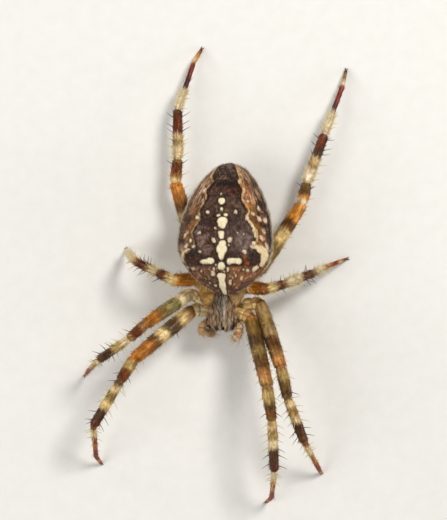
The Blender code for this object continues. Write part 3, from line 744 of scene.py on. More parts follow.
def flank_colour(at):
    """Fine slanting lines, crossed by rows of dark and light blots."""
    back, left, slanting, ragged = at.back, at.left, at.slanting, at.ragged
    rear = smooth(4.6, 6.2, back)
    middle = left * smooth(6.2, 5.0, back)
    lines = layered(stacked(at.t * ABDOMEN_LENGTH, at.angle * 4.0, 0.0), (0.9, 0.11, 1.0), 61)
    fine_rows = layered(slanting, (0.10, 0.75, 1.0), 65)
    contrast = smooth(0.40, 0.62, fine_rows + (lines - fine_rows) * (0.35 + 0.4 * rear))
    patches = layered(slanting + 3.1, (0.26, 0.60, 1.0), 71, 2)
    light_patches = layered(slanting + 9.7, (0.17, 0.40, 1.0), 81, 2)
    light_shade = painted((160, 118, 82), ((196, 148, 104), left * smooth(6.4, 4.8, back)),
                          ((212, 178, 124), smooth(0.55, 0.70, at.lumps)))
    blots = flecks(slanting * np.array((1.0, 0.6, 0.0)) + 0.3, 0.42, 0.32, 85, 0.12, 0.27, True)
    grit = slanting * np.array((1.0, 0.5, 0.0)) + 7.7
    colour = painted((64, 38, 24), ((98, 60, 36), smooth(0.35, 0.65, at.lumps)),
                     ((86, 44, 27), 0.8 * middle), ((116, 84, 62), rear))
    colour = painted(
        lit(colour, (0.48 + 0.92 * contrast) * (1.0 - 0.20 * middle)),
        ((48, 29, 21), 0.90 * smooth(0.54, 0.62, patches + 0.06 * middle) * (1.0 - 0.45 * rear)),
        (light_shade, 0.80 * smooth(0.61, 0.69, light_patches - 0.04 * middle)
         * (1.0 - 0.50 * rear) * (1.0 - 0.35 * middle)),
        ((224, 186, 144), 0.85 * blots * left * smooth(5.6, 4.9, back)),
        ((176, 132, 96), 0.50 * blots * (1.0 - left) * smooth(5.2, 4.4, back)),
        ((194, 154, 118), 0.70 * smooth(0.55, 0.62, lines) * rear),
        ((54, 34, 26), 0.75 * smooth(0.48, 0.41, lines) * rear),
        ((206, 168, 136), 0.60 * flecks(grit, 0.24, 0.36, 87, 0.14, 0.30, True)),
        ((46, 28, 22), 0.65 * flecks(grit + 3.0, 0.30, 0.40, 89, 0.14, 0.32, True)),
        *((lit(shade, 0.72 + 0.40 * contrast),
           amount * oval(at.place, centre, size, turn, 2.0, 0.20, ragged * 1.5))
          for centre, size, turn, shade, amount in FLANK_BLOTS))
    # golden brown beside the folium, and fine slanting rows over all the flank
    beside = smooth(-0.95, -0.60, folium_depth(at.place, ragged))
    beside = beside * smooth(2.1, 2.7, back) * smooth(6.0, 5.4, back)
    net = 0.60 + 0.55 * smooth(0.42, 0.60, layered(at.points, 0.16, 73))
    colour = painted(colour, (lit(srgb(156, 112, 58), net), 0.72 * beside))
    rows = layered(slanting, (0.17, 0.90, 1.0), 67)
    colour = lit(colour, 0.74 + 0.50 * smooth(0.42, 0.58, rows))
    # a redder middle to both flanks, darkened as painted shade, most on the right flank; a pale margin
    # in front
    tint = np.where(left[..., None], (0.84, 0.72, 0.60), (0.66, 0.57, 0.50))
    colour = painted(
        colour, (colour * tint, smooth(6.8, 5.6, back) * smooth(0.8, 1.6, back)),
        ((186, 160, 124), 0.6 * smooth(-2.75, -3.25, at.off_middle) * smooth(2.9, 1.9, back)
         * smooth(-0.2, 0.5, back) * smooth(0.3, 0.6, at.lumps + ragged)))
    # painted shade: the flank darker where it turns down towards the widest line
    return mix(colour, colour * np.array((0.46, 0.42, 0.40)), smooth(0.42, 0.12, at.height))


def paint_front(at, colour):
    """Over the front of the back: warm brown, peppered light and dark, with a violet rim."""
    front = smooth(1.00, 0.55, at.back + at.ragged)
    warm = painted((104, 72, 54), ((138, 98, 68), smooth(0.35, 0.7, at.lumps)),
                   ((150, 96, 56), smooth(0.4, 2.0, at.off_middle) * 0.7))
    pepper = np.maximum(flecks(at.on_plan, 0.46, 0.60, 91, 0.15, 0.33, True),
                        flecks(at.on_plan, 0.30, 0.45, 94, 0.16, 0.33, True))
    from_edge = at.back + 1.75 - 0.55 * np.abs(at.across - 0.70)
    violet = smooth(0.30, 0.06, from_edge + at.ragged * 3.0)
    return painted(colour, (warm, front),
                   (BLACK_BROWN, 0.65 * front * flecks(at.points, 0.30, 0.80, 97, 0.25, 0.50)),
                   ((206, 160, 122), 0.85 * front * pepper),
                   (VIOLET_GREY, 0.70 * (violet * (0.35 + 0.65 * smooth(0.42, 0.58, at.lumps)))))


def folium_field(at):
    """The dark figure's colours, from the shoulders to the tail, with a painted sheen over the
    shoulders.
    """
    back, ragged, clouds, place = at.back, at.ragged, at.clouds, at.place
    field_light = np.interp(back + ragged * 2.5, *np.transpose(FIELD_LIGHT))
    field = mix(DEEP_BROWN, PLUM_BROWN, smooth(0.36, 0.64, at.grain * 0.4 + clouds * 0.6))
    tail = smooth(8.06, 8.22, back + ragged * 2.5)
    tail_colour = painted((54, 39, 31), ((112, 90, 74),
                                         smooth(0.46, 0.68, layered(at.points, 0.24, 37))))
    field = painted(
        mix(DEEP_BROWN * 0.62, field, field_light),
        ((110, 88, 60), 0.55 * smooth(0.50, 0.68, clouds) * smooth(0.9, 0.3, np.abs(back - 5.6))),
        # painted sheen: two pale plum patches over the shoulders stand in for the gloss of the smooth
        # cuticle
        *(((146, 118, 108), 0.50 * oval(place, centre, size, 15, edge=0.6)
           * smooth(0.40, 0.65, clouds))
          for centre, size in (((2.30, 2.95), (1.5, 1.9)), ((-1.15, 2.80), (1.3, 1.7)))),
        ((108, 54, 36), 0.65 * smooth(0.26, 0.05, np.abs(back + ragged * 3.5 - 7.12))
         * smooth(0.42, 0.58, at.grain)),
        (BLACK_BROWN, 0.9 * smooth(0.14, -0.06, np.abs(back + ragged * 2.5 - 7.80) - 0.22)),
        (tail_colour, tail),
        *((BLACK_BROWN, 0.9 * oval(place, centre, size, edge=0.25, ragged=ragged))
          for centre, size in (((-2.0, 1.58), (1.50, 1.05)), ((3.02, 1.30), (1.15, 1.25)))),
        (RUST_SPOT, 0.80 * oval(place, (2.44, 1.26), (0.30, 0.95), 10, 2.0, 0.18, ragged * 5.0)),
        ((70, 30, 30), 0.6 * oval(place, (3.05, 1.10), (0.7, 0.7), edge=0.3, ragged=ragged)),
        ((88, 48, 32), 0.8 * oval(place, (-1.75, 1.20), (1.1, 0.6), edge=0.3, ragged=ragged)),
        (BLACK_BROWN, 0.60 * flecks(at.points, 0.32, 0.65, 99, 0.20, 0.45)),
        ((150, 122, 98), 0.50 * flecks(at.on_plan, 0.42, 0.28, 101, 0.08, 0.16, True) * (1.0 - tail)))
    return lit(field, 0.80 + 0.36 * smooth(0.42, 0.58, layered(at.points, 0.20, 39)))


def paint_folium(at, colour):
    """The folium with its dark rim and pale outline, and the crescents beside its lobes."""
    back, left, ragged = at.back, at.left, at.ragged
    depth = folium_depth(at.place, ragged)
    at.inside = smooth(-0.03, 0.04, depth) * smooth(0.55, 0.80, back + ragged)
    rim = smooth(0.30, 0.06, depth) * at.inside \
        * np.maximum(smooth(1.4, 2.2, back), 0.9 * smooth(1.0, 1.3, back))
    width = np.where(left, 0.05, 0.0) + np.where(left, 0.10, 0.03) * smooth(6.4, 8.4, back)
    outline = smooth(0.10, 0.02, np.abs(depth + 0.10 + width * 0.5) - width * 0.5)
    outline = outline * smooth(1.2, 1.6, back) * smooth(9.7, 9.2, back)
    outline = outline * np.where(left, 1.0, 0.25 + 0.75 * smooth(3.2, 4.2, back))
    outline_shade = painted((190, 146, 96),
                            (LINE_CREAM, smooth(0.35, 0.6, at.clouds) * (0.4 + 0.6 * left)))
    broken = smooth(0.34, 0.50, layered(at.points, 0.50, 43))
    crescent_shade = mix(LINE_CREAM, CREAM, 0.45)
    return painted(
        colour, (folium_field(at), at.inside), (BLACK_BROWN, 0.9 * rim),
        (outline_shade, 0.85 * outline * (0.25 + 0.75 * broken)),
        *((crescent_shade, line(at.place, points, width, 0.07, ragged))
          for points, width in CRESCENTS))


def paint_spots(at, colour):
    """Rose spots, then the white cross and small spots with a thin dark edge round them."""
    place, ragged = at.place, at.ragged
    cross, small, edged = (np.zeros(at.back.shape) for _ in range(3))
    for ovals in CROSS:
        apart = blob_distance(place, ovals)
        cross = np.maximum(cross, smooth(0.045, -0.045, apart + ragged * 0.55))
        edged = np.maximum(edged, smooth(0.20, 0.06, apart + ragged * 0.5))
    for centre, size, turn in SMALL_SPOTS:
        apart = oval_distance(place, centre, size, turn, 2.2)
        small = np.maximum(small, smooth(0.05, -0.05, apart + 0.02 + ragged * 1.6))
        edged = np.maximum(edged, 0.8 * smooth(0.16, 0.04, apart + ragged * 0.5))
    at.white = np.maximum(cross, small)
    return painted(
        colour,
        *((ROSE_CREAM, 0.85 * oval(place, centre, size, turn, 2.0, 0.08, ragged * 1.6))
          for centre, size, turn in ROSE_SPOTS),
        (BLACK_BROWN, 0.75 * edged), (painted((206, 176, 146), (CREAM, at.grain)), 0.92 * small),
        (mix(CREAM * 0.93, CREAM * 1.02, at.grain), cross))


def paint_below(at, colour):
    """Flank brown below the widest line, then the belly's dark band with its two commas."""
    x, y, z = np.moveaxis(at.points, -1, 0)
    at.low = smooth(0.16, -0.10, at.height)
    streaks = stacked(y, z * 2.0, np.sign(at.off_middle) * 5.0)
    flank = painted(
        (96, 66, 50), ((150, 114, 84), smooth(0.38, 0.62, layered(streaks, (0.6, 1.2, 1.0), 111))),
        (DEEP_BROWN, 0.8 * smooth(0.55, 0.68, layered(streaks, (1.1, 2.0, 1.0), 121))),
        ((196, 164, 128), 0.5 * flecks(at.points, 0.5, 0.35, 131, 0.12, 0.26)))
    off_belly = np.abs(x - 0.42 - 0.08 * (y + 1.3))
    comma = smooth(0.22, 0.05, np.abs(off_belly - 1.05 - 0.10 * np.sin(y))) \
        * smooth(0.9, 1.4, y) * smooth(6.6, 5.9, y)
    belly = painted((58, 42, 34), ((92, 68, 52), smooth(0.35, 0.65, at.lumps)),
                    ((206, 182, 118), 0.9 * comma))
    return painted(colour, (flank, at.low), (belly, smooth(-0.55, -0.75, at.height)))


def abdomen_skin():
    """The abdomen's skin with its pits, creases and markings."""
    t, angle = ring_grid(end_spaced(270, 0.006), 400)
    skin = Skin(abdomen_surface(t, angle), ABDOMEN_COAT)
    place = plan(skin.points)
    upper = smooth(0.0, 0.25, np.sin(angle))
    relief = 0.05 * (layered(skin.points, 0.9, 5) - 0.5) + 0.03 * (layered(skin.points, 0.25, 6) - 0.5)
    for pair_back, apart, deep in MUSCLE_PITS:
        for side in (-1.0, 1.0):
            centre = (0.45 + side * apart, pair_back)
            relief = relief - deep * upper * oval(place, centre, (0.28, 0.34), 0, 2.0, 0.12)
    # creases round the flanks
    flank = smooth(0.5, 0.1, np.abs(np.sin(angle) + 0.1))
    creases = np.sin((skin.points[..., 1] + 0.5 * skin.points[..., 2]) * 2.0 * np.pi / 0.85
                     + 3.0 * layered(skin.points, 1.4, 8))
    skin.push(relief + 0.022 * flank * creases)

    at = abdomen_places(skin.points, t, angle)
    colour = flank_colour(at)
    for paint in (paint_front, paint_folium, paint_spots, paint_below):
        colour = paint(at, colour)
    skin.colour = grained(colour, at.grain, 0.14)
    skin.gloss = 0.45 + 0.35 * at.inside * (1.0 - at.white) - 0.2 * at.low
    return skin, at


def abdomen_hairs(skin, at):
    """Short dark hair on the back's figure, longer pale hair on the flanks and edges."""
    hairs = Hairs()
    figure = np.maximum(at.inside * (1.0 - at.low), smooth(0.9, 0.5, at.back) * (at.height > 0.15))
    edge = smooth(0.30, 0.08, np.abs(at.height - 0.02)) * (0.25 + 0.75 * smooth(0.2, 1.2, at.back))
    for count, length, radius, lift, shade, amount, chance in (
            (4200, (0.18, 0.30), 0.014, 26, (74, 52, 40), 0.55, figure * (1.0 - at.white)),
            (420, (0.20, 0.32), 0.014, 26, (190, 168, 140), 0.60, figure * (1.0 - at.white)),
            (2600, (0.28, 0.46), 0.013, 24, (160, 130, 98), 0.20, 1.0 - figure),
            (1700, (0.26, 0.46), 0.014, 42, (222, 208, 180), 0.80, edge)):
        spot = skin.pick(count, chance)
        shade = painted(skin.colour[spot], (shade, amount * rng.uniform(0.6, 1.2, count).clip(0, 1)))
        hairs.grow(skin, spot, skin.shares(), rng.uniform(*length, count), radius,
                   lift + rng.normal(0, 6, count), 0.6, shade, np.minimum(shade * 1.15, 0.85))
    hairs.piece("abdomen_hair", "abdomen")


# ====================================================================== carapace
def lobe(y, middle, half_length, power):
    """Height of a superellipse along y: 1 at its middle, 0 beyond its ends."""
    share = np.minimum(1.0, np.abs(y - middle) / half_length)
    return (1.0 - share ** power) ** (1.0 / power)


def carapace_surface(t, angle):
    y = CARAPACE_REAR + (CARAPACE_FRONT - CARAPACE_REAR) * t
    thorax = lobe(y, THORAX_Y, CARAPACE_REAR - THORAX_Y, THORAX_SQUARENESS)
    head = lobe(y, CARAPACE_FRONT + HEAD_HALF_LENGTH, HEAD_HALF_LENGTH, HEAD_SQUARENESS)
    width = ((THORAX_HALF_WIDTH * thorax) ** 4 + (HEAD_HALF_WIDTH * head) ** 4) ** 0.25
    rise = ((THORAX_RISE * thorax) ** 4 + (HEAD_RISE * head) ** 4) ** 0.25
    swell = np.minimum(1.0, width / 0.6)
    side = rounded(np.cos(angle), CARAPACE_SQUARENESS) * width
    above = CARAPACE_MARGIN + rounded(np.sin(angle), CARAPACE_SQUARENESS) * rise
    below = CARAPACE_MARGIN + rounded(np.sin(angle), CARAPACE_UNDER_SQUARENESS) \
        * (CARAPACE_MARGIN - CARAPACE_BOTTOM) * swell
    return stacked(PROSOMA_X + side, y, np.where(np.sin(angle) >= 0.0, above, below))


def head_half_width(y):
    """Half the width of the head region, which narrows to the dimple of the thorax."""
    return np.interp(y, (CARAPACE_FRONT, -3.3, -1.75, FOVEA_Y), (HEAD_HALF_WIDTH, 1.30, 0.50, 0.12))


def eye_places():
    """x, y, z and radius of every eye, pair by pair, the left one last."""
    for middle, offset, y, z, radius in EYES.values():
        for side in (-1.0, 1.0):
            yield middle + side * offset, y, z, radius


def carapace_skin():
    """The carapace's skin with its grooves, its dimple and the rims of the eyes."""
    t, angle = ring_grid(end_spaced(200, 0.012), 220)
    skin = Skin(carapace_surface(t, angle), CARAPACE_COAT)
    x, y = skin.points[..., 0] - PROSOMA_X, skin.points[..., 1]
    upper = smooth(0.05, 0.35, np.sin(angle))
    # dimple, the groove round the head and the rays of the thorax
    beyond_head = np.abs(x) - head_half_width(y)
    dimple = np.exp(-(x / 0.30) ** 2 - ((y - FOVEA_Y) / 0.38) ** 2)
    groove = bump(beyond_head, 0.04, 0.11) * smooth(-4.1, -3.2, y) * smooth(-0.9, -1.3, y)
    rays = np.cos(np.arctan2(np.abs(x), y - FOVEA_Y) * 9.0) \
        * smooth(0.3, 0.8, np.hypot(x, y - FOVEA_Y)) * smooth(0.0, 0.3, beyond_head)
    relief = -0.24 * dimple - 0.12 * groove + 0.035 * rays
    skin.push(relief * upper + 0.03 * (layered(skin.points, 0.35, 205) - 0.5))

    skin.in_head = smooth(0.10, -0.10, beyond_head) * upper
    skin.upper = upper
    # painted shadow: a dark patch at the front of the head's left side, where shade falls; it darkens
    # the head's colour and its hair
    skin.dark_side = oval(skin.points[..., :2], (1.36, -4.25), (0.44, 1.15), 0, 2.0, 0.15)
    lumps = layered(skin.points, 0.6, 221)
    middle_line = smooth(0.16, 0.06, np.abs(x + 0.02)) * smooth(-3.4, -1.4, y)
    head = painted((104, 80, 60), ((140, 112, 86), smooth(0.35, 0.65, lumps)),
                   ((30, 24, 22), 0.9 * middle_line), ((40, 28, 24), 0.85 * skin.dark_side))
    edge = smooth(0.28, 0.08, np.abs(np.sin(angle)))
    colour = painted(
        (216, 164, 78), ((192, 158, 98), smooth(-0.6, 0.5, x) * 0.9),
        ((122, 96, 48), 0.65 * smooth(0.50, 0.72, lumps)),
        ((110, 76, 42), 0.5 * smooth(0.3, 0.9, rays) * upper), ((96, 66, 40), 0.8 * groove * upper),
        ((60, 44, 34), 0.8 * dimple * upper), (head, skin.in_head),
        ((206, 178, 142), 0.7 * edge * (1.0 - smooth(-3.4, -4.0, y))))
    skin.eye_room = np.ones(x.shape)
    for *centre, radius in eye_places():
        near = np.linalg.norm(skin.points - np.array(centre), axis=-1)
        colour = painted(colour, ((40, 28, 24), 0.85 * smooth(radius + 0.20, radius, near)))
        skin.eye_room = np.minimum(skin.eye_room, smooth(radius + 0.05, radius + 0.45, near))
    skin.colour = grained(colour, layered(skin.points, 0.14, 211), 0.14)
    skin.gloss = 0.6 - 0.3 * skin.in_head
    return skin


def carapace_hairs(skin):
    """Grey and brown locks, combed forwards over the head, thin hair on the thorax."""
    hairs = Hairs((0.0, 0.35, 0.7), 3)
    x, y = skin.points[..., 0] - PROSOMA_X, skin.points[..., 1]
    dark_line = smooth(0.14, 0.05, np.abs(x + 0.14)) * smooth(-3.5, -2.9, y)
    salted = smooth(0.44, 0.26, np.abs(x + 0.20)) * smooth(-3.4, -2.4, y)
    white_line = smooth(0.15, 0.06, np.abs(x - 0.25 - 0.04 * (y + 2.8))) * smooth(-4.0, -3.3, y)
    rust_line = smooth(0.08, 0.02, np.abs(np.abs(x) - head_half_width(y) + 0.10)) * smooth(-3.6, -2.9, y)
    white_chance = np.maximum(0.85 * white_line, 0.34 * salted)
    # more dark hairs where the shadow is painted on the head's left front
    dark_chance = np.maximum(np.maximum(0.75 * dark_line, 0.42 * salted), 0.80 * skin.dark_side)
    wave = x + 0.03 * np.sin(y * 7.0 + x * 3.0)
    locks = layered(stacked(wave, y * 0.30, 0.0), 0.062, 231, 2)
    tufts = layered(stacked(wave, y * 0.45, 0.0), 0.42, 233, 2)
    # hairs behind an eye stop short of it
    room = np.full(x.shape, 9.0)
    for eye_x, eye_y, _, radius in eye_places():
        beside = np.abs(skin.points[..., 0] - eye_x) < radius + 0.07
        behind = y - eye_y - radius
        room = np.where(beside & (behind > -0.1), np.minimum(room, np.maximum(behind, 0.05)), room)
    for count, length, radius, lift, chance in (
            (6600, (0.34, 0.66), 0.0135, 16, skin.in_head * (0.06 + 0.94 * skin.eye_room)),
            (900, (0.22, 0.40), 0.015, 26, skin.upper * (1.0 - 0.85 * skin.in_head))):
        spot = skin.pick(count, chance)
        here = locks[spot] + rng.normal(0, 0.08, count)
        light = painted((206, 168, 130), ((190, 162, 122), smooth(0.42, 0.58, tufts[spot])),
                        ((228, 212, 186), smooth(0.56, 0.72, here)))
        white = rng.random(count) < white_chance[spot]
        dark = rng.random(count) < dark_chance[spot]
        shade = painted((102, 76, 54), (light, smooth(0.34, 0.56, here)),
                        ((176, 112, 80), 0.4 * rust_line[spot]), ((240, 230, 216), white * 0.9),
                        ((30, 23, 19), dark * ~white * 0.92))
        inward = np.zeros((count, 3))
        inward[:, 0] = -0.26 * x[spot] / HEAD_HALF_WIDTH
        hairs.grow(skin, spot, skin.shares(), np.minimum(rng.uniform(*length, count), room[spot]),
                   radius, lift + rng.normal(0, 6, count), 0.75, shade, shade * 1.1,
                   sway=0.10, lean=inward)
    hairs.piece("carapace_hair", "carapace")


# ========================================================================== eyes
def ball(centre, radii, rows=28, sides=36):
    """An ellipsoid skin round centre."""
    height, angle = ring_grid(np.pi * np.linspace(0.02, 0.98, rows), sides)
    points = stacked(np.sin(height) * np.cos(angle), np.sin(height) * np.sin(angle), np.cos(height))
    return Skin(points * np.asarray(radii) + np.asarray(centre))


def eyes():
    """Each eye is a glossy lens that stands in a dull rim."""
    for pair, (middle, _, y, z, radius) in EYES.items():
        for word in SIDES:
            name = pair + "_" + word
            low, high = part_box(name)
            centre = np.array((low + high) / 2.0) / MM - SHIFT
            lens = ball(centre, (radius, radius, radius))
            outward = unit(centre - np.array((middle, y + 1.3, z - 0.25)))
            facing = unit(lens.points - centre) @ outward
            rim = smooth(0.30, 0.10, facing)
            lens.push(0.012 * bump(facing, 0.18, 0.12))
            lens.colour = painted((14, 9, 9), ((52, 34, 26), rim))
            lens.gloss = 1.0 - 0.8 * rim
            skin_piece(name + "_lens", lens, "eye", (name,))


# ========================================================================== legs
LEG_COLOURS = {
    "snow": (250, 236, 212), "pearl": (214, 190, 160), "white": (234, 212, 170),
    "cream": (216, 190, 142), "peach": (206, 166, 112), "buff": (196, 168, 120),
    "straw": (222, 194, 132), "yellow": (230, 206, 148), "green": (176, 150, 92),
    "tan": (152, 120, 72), "khaki": (134, 108, 58), "moss": (134, 124, 80), "olive": (118, 90, 42),
    "plum": (84, 61, 31), "streak": (100, 66, 31), "rose": (146, 104, 58), "honey": (180, 128, 70),
    # flame is painted light: an orange lighter than the leg's own, to make up for the body's shade on it
    "amber": (162, 100, 28), "gold": (216, 144, 56), "flame": (226, 148, 54),
    "brown": (112, 68, 22), "umber": (76, 50, 29), "russet": (98, 49, 17), "rust": (128, 66, 32),
    "bay": (96, 52, 36), "cocoa": (112, 82, 58), "dark": (44, 27, 19), "rim": (148, 92, 46),
    # chalk is painted light: whiter than any leg, to make up for the body's shade where it is used
    "chalk": (252, 236, 190), "chestnut": (98, 44, 20), "copper": (186, 120, 44),
    "mink": (76, 37, 26), "fawn": (152, 126, 82), "brick": (136, 60, 24), "claret": (122, 46, 26),
}


def bands(text):
    """Places and colours along a segment, from words such as "0-3 honey, 7-24 olive"."""
    places, tones = [], []
    for stop in text.split(", "):
        span, name = stop.split()
        start, _, end = span.partition("-")
        places += [float(start) / 100.0, float(end or start) / 100.0]
        tones += [srgb(*LEG_COLOURS[name])] * 2
    return np.array(places), np.array(tones)


# bands along each segment, from its start, 0, to its end, 100
COXA = "0-10 tan, 22-62 straw, 72-90 peach, 98-100 rim"
# the next two coxae are painted light: paler than the coxae are, to make up for the shade of the body
# over them, the second most of all
PALE_COXA_WITH_PAINTED_LIGHT = "0-10 buff, 22-70 white, 80-92 straw, 98-100 honey"
COXA_WITH_PAINTED_LIGHT = "0-10 cream, 22-94 chalk, 98-100 peach"
METATARSUS_FRONT = "0-2 rim, 8-26 cream, 38-46 brick, 54-63 amber, 72-92 brick, 100 brick"
TARSUS_FRONT = "0-16 brick, 34-54 copper, 70-92 brick, 100 dark"
FRONT_END = {"metatarsus": METATARSUS_FRONT, "tarsus": TARSUS_FRONT}
BANDS = {
    "leg_left_1": FRONT_END | {
        "coxa": COXA,
        "femur": "0-3 honey, 7-24 olive, 31-42 plum, 49-56 khaki, 62-74 streak, 81-83 rose, "
                 "87-93 honey, 100 khaki",
        "patella": "0-6 rose, 18-34 green, 46-48 khaki, 58-66 plum, 74-86 brown, 97-100 khaki",
        "tibia": "0-3 peach, 8-12 cream, 17-22 tan, 29-33 green, 39-47 white, 56-80 umber, 86-100 bay",
        "metatarsus": "0-22 white, 34-38 honey, 47-51 brick, 60-64 honey, 74-94 brick, 100 brick"},
    "leg_left_2": FRONT_END | {
        "coxa": "0-8 tan, 20-30 khaki, 48-80 straw, 95-100 honey",
        "femur": "0-4 tan, 11-23 fawn, 31-38 khaki, 44-52 fawn, 59-73 streak, 80-82 rose, 87-92 honey, "
                 "100 rim",
        "patella": "0-6 rose, 16-32 green, 44-70 olive, 78-86 plum, 95-100 khaki",
        "tibia": "0-3 tan, 8-13 cream, 20-28 tan, 36-38 green, 41-48 cream, 58-80 umber, 86-100 streak",
        "metatarsus": "0-5 rim, 14-34 cream, 42-48 khaki, 56-68 copper, 78-95 brick, 100 rim"},
    "leg_left_3": {
        "coxa": PALE_COXA_WITH_PAINTED_LIGHT,
        # the femur's start is painted light, against the body's shade on it
        "femur": "0-14 chalk, 28-42 gold, 56-76 amber, 88-100 rim",
        "patella": "0-6 brown, 16-36 straw, 48-52 tan, 62-80 bay, 92-100 tan",
        "tibia": "0-3 buff, 9-19 snow, 26-31 green, 36-42 snow, 52-68 bay, 77-95 cocoa, 100 tan",
        "metatarsus": "0-5 tan, 11-30 snow, 38-47 brick, 56-60 honey, 68-96 brick, 100 tan",
        "tarsus": "0-18 peach, 36-50 rim, 68-100 russet"},
    "leg_left_4": {
        "coxa": COXA,
        "femur": "0-6 tan, 11-14 green, 22-34 khaki, 42-43 green, 48-57 straw, 64-73 streak, "
                 "78-92 gold, 97-100 honey",
        "patella": "0-18 white, 28-38 gold, 47-72 streak, 86-100 olive",
        "tibia": "0-2 cream, 7-23 snow, 31-37 khaki, 42-47 buff, 55-66 umber, 74-92 russet, 100 cocoa",
        "metatarsus": "0-4 pearl, 10-36 snow, 40-42 pearl, 48-60 mink, 70-94 claret, 100 tan",
        "tarsus": "0-30 pearl, 46-62 tan, 88-100 umber"},
    "leg_right_1": FRONT_END | {
        "coxa": COXA_WITH_PAINTED_LIGHT,
        "femur": "0-3 rim, 9-12 peach, 14-20 straw, 28-42 plum, 52-58 yellow, 63-68 brown, 77-95 amber, "
                 "100 amber",
        "patella": "0-10 amber, 20-42 green, 56-62 brown, 70-90 russet, 100 brown",
        "tibia": "0-5 plum, 14-20 cream, 25-38 khaki, 45-56 straw, 64-78 umber, 86-100 bay"},
    "leg_right_2": FRONT_END | {
        "coxa": COXA_WITH_PAINTED_LIGHT,
        # the femur's start is painted light, against the body's shade on it
        "femur": "0-25 chalk, 34-56 moss, 62-70 khaki, 80-84 copper, 90-100 amber",
        "patella": "0-28 rose, 42-78 russet, 94-100 tan",
        "tibia": "0-14 white, 21-37 green, 44-46 tan, 53-84 umber, 94-100 streak",
        "metatarsus": "0-18 white, 30-38 honey, 52-62 copper, 76-100 brick"},
    "leg_right_3": {
        "coxa": PALE_COXA_WITH_PAINTED_LIGHT,
        # the femur's middle is painted light, against the body's shade on it
        "femur": "0-14 straw, 24-60 flame, 70-90 gold, 100 straw",
        "patella": "0-20 yellow, 34-40 green, 50-76 bay, 88-100 rose",
        "tibia": "0-12 white, 19-25 green, 32-36 khaki, 44-78 bay, 92-100 honey",
        "metatarsus": "0-90 snow, 100 pearl",
        "tarsus": "0-70 snow, 85-100 buff"},
    "leg_right_4": {
        "coxa": COXA,
        "femur": "0-60 green, 67-72 streak, 80-86 amber, 91-100 copper",
        "patella": "0-15 yellow, 26-34 honey, 46-54 rust, 66-76 russet, 90-100 olive",
        "tibia": "0-2 cream, 7-22 white, 30-38 khaki, 42-45 cream, 51-86 chestnut, 93-100 umber",
        "metatarsus": "0-4 pearl, 10-35 snow, 39-40 pearl, 46-66 mink, 76-94 claret, 100 rim",
        "tarsus": "0-26 peach, 44-58 honey, 82-100 russet"},
}


def direction(heading, rise):
    """The unit vector of a heading round z and a rise above the floor, in degrees."""
    heading, rise = math.radians(heading), math.radians(rise)
    return np.array((math.cos(rise) * math.cos(heading), math.cos(rise) * math.sin(heading),
                     math.sin(rise)))


def leg_joints(leg):
    """Root, femur's start and the far end of each segment, toe last."""
    points = [np.array(leg["root"]), np.array(leg["femur_start"])]
    for length, heading, rise in leg["segments"][:-1]:
        points.append(points[-1] + direction(heading, rise) * length)
    _, heading, rise = leg["segments"][-1]
    step = direction(heading, rise)
    points.append(points[-1] + step * ((FOOT_CENTRE - points[-1][2]) / step[2]))
    return points


def blurred(values, reach):
    """Values along a line, smoothed over reach steps, with the ends kept in place."""
    pad = 3 * reach
    weights = np.exp(-0.5 * (np.arange(-pad, pad + 1) / reach) ** 2)
    weights /= weights.sum()
    before = 2.0 * values[:1] - values[1:pad + 1][::-1]
    after = 2.0 * values[-1:] - values[-pad - 1:-1][::-1]
    padded = np.concatenate((before, values, after))
    return np.stack([np.convolve(padded[:, axis], weights, "valid")
                     for axis in range(values.shape[1])], axis=1)


def tube_points(centres, radii, sides):
    """Rings square to a line; the second quarter of each ring is its upper side."""
    run = unit(np.gradient(centres, axis=0))
    side = unit(np.cross(run, UP))
    top = np.cross(side, run)
    angle = turns(sides)[None, :, None]
    ring = np.cos(angle) * side[:, None, :] + np.sin(angle) * top[:, None, :]
    return centres[:, None, :] + radii[:, None, None] * ring


def leg_line(leg):
    """The rings along a leg: centres, radii, and for each its segment's number, its share
    of the segment, the segment's length, and how strongly it lies in a joint's waist."""
    joints = leg_joints(leg)
    centres, radius, kind, share, length = [], [], [], [], []
    for number, (start, end) in enumerate(zip(joints[:-1], joints[1:])):
        reach = float(np.linalg.norm(end - start))
        steps = max(8, int(round(reach / LEG_STEP)))
        part = (np.arange(steps) + 0.5) / steps
        centres.append(start + part[:, None] * (end - start))
        profile = SEGMENT_RADII[SEGMENT_NAMES[number]]
        radius.append(np.interp(part, (0.0, 0.25, 0.5, 0.75, 1.0), profile) * leg["girth"] - LEG_COAT)
        share.append(part)
        kind += [number] * steps
        length += [reach] * steps
    radius = blurred(np.concatenate(radius)[:, None], 2)[:, 0]
    centres, share = blurred(np.concatenate(centres), 4), np.concatenate(share)
    kind, length = np.array(kind), np.array(length)
    to_start, to_end = share * length, (1.0 - share) * length

    # a waist at every joint, with a swelling on its near side
    waist = (kind > 0) * bump(to_start, 0.0, WAIST_LENGTH) * np.where(kind == 1, 0.4, 1.0)
    waist += (kind < 5) * bump(to_end, 0.0, WAIST_LENGTH) * np.where(kind == 0, 0.4, 1.0)
    swelling = (kind < 5) * bump(to_end, 0.28, 0.16)
    trochanter = (kind == 0) * bump((share - TROCHANTER_SHARE) * length, 0.0, TROCHANTER_LENGTH)
    radius = radius * (1.0 - WAIST_DEPTH * waist - 0.16 * trochanter + 0.05 * swelling)
    round_toe = (kind == 5) * np.clip(1.0 - to_end / TOE_ROUND, 0.0, 1.0)
    radius = radius * np.sqrt(np.clip(1.0 - round_toe ** 2, 0.05, 1.0))
    return centres, radius, kind, share, length, waist


def banded(name, kind, shares):
    """The leg's bands at the given shares of each ring's segment."""
    colour = np.zeros(shares.shape + (3,))
    for number, segment in enumerate(SEGMENT_NAMES):
        here = kind == number
        stops, tones = bands(BANDS[name][segment])
        for channel in range(3):
            colour[here, :, channel] = np.interp(shares[here], stops, tones[:, channel])
    return colour


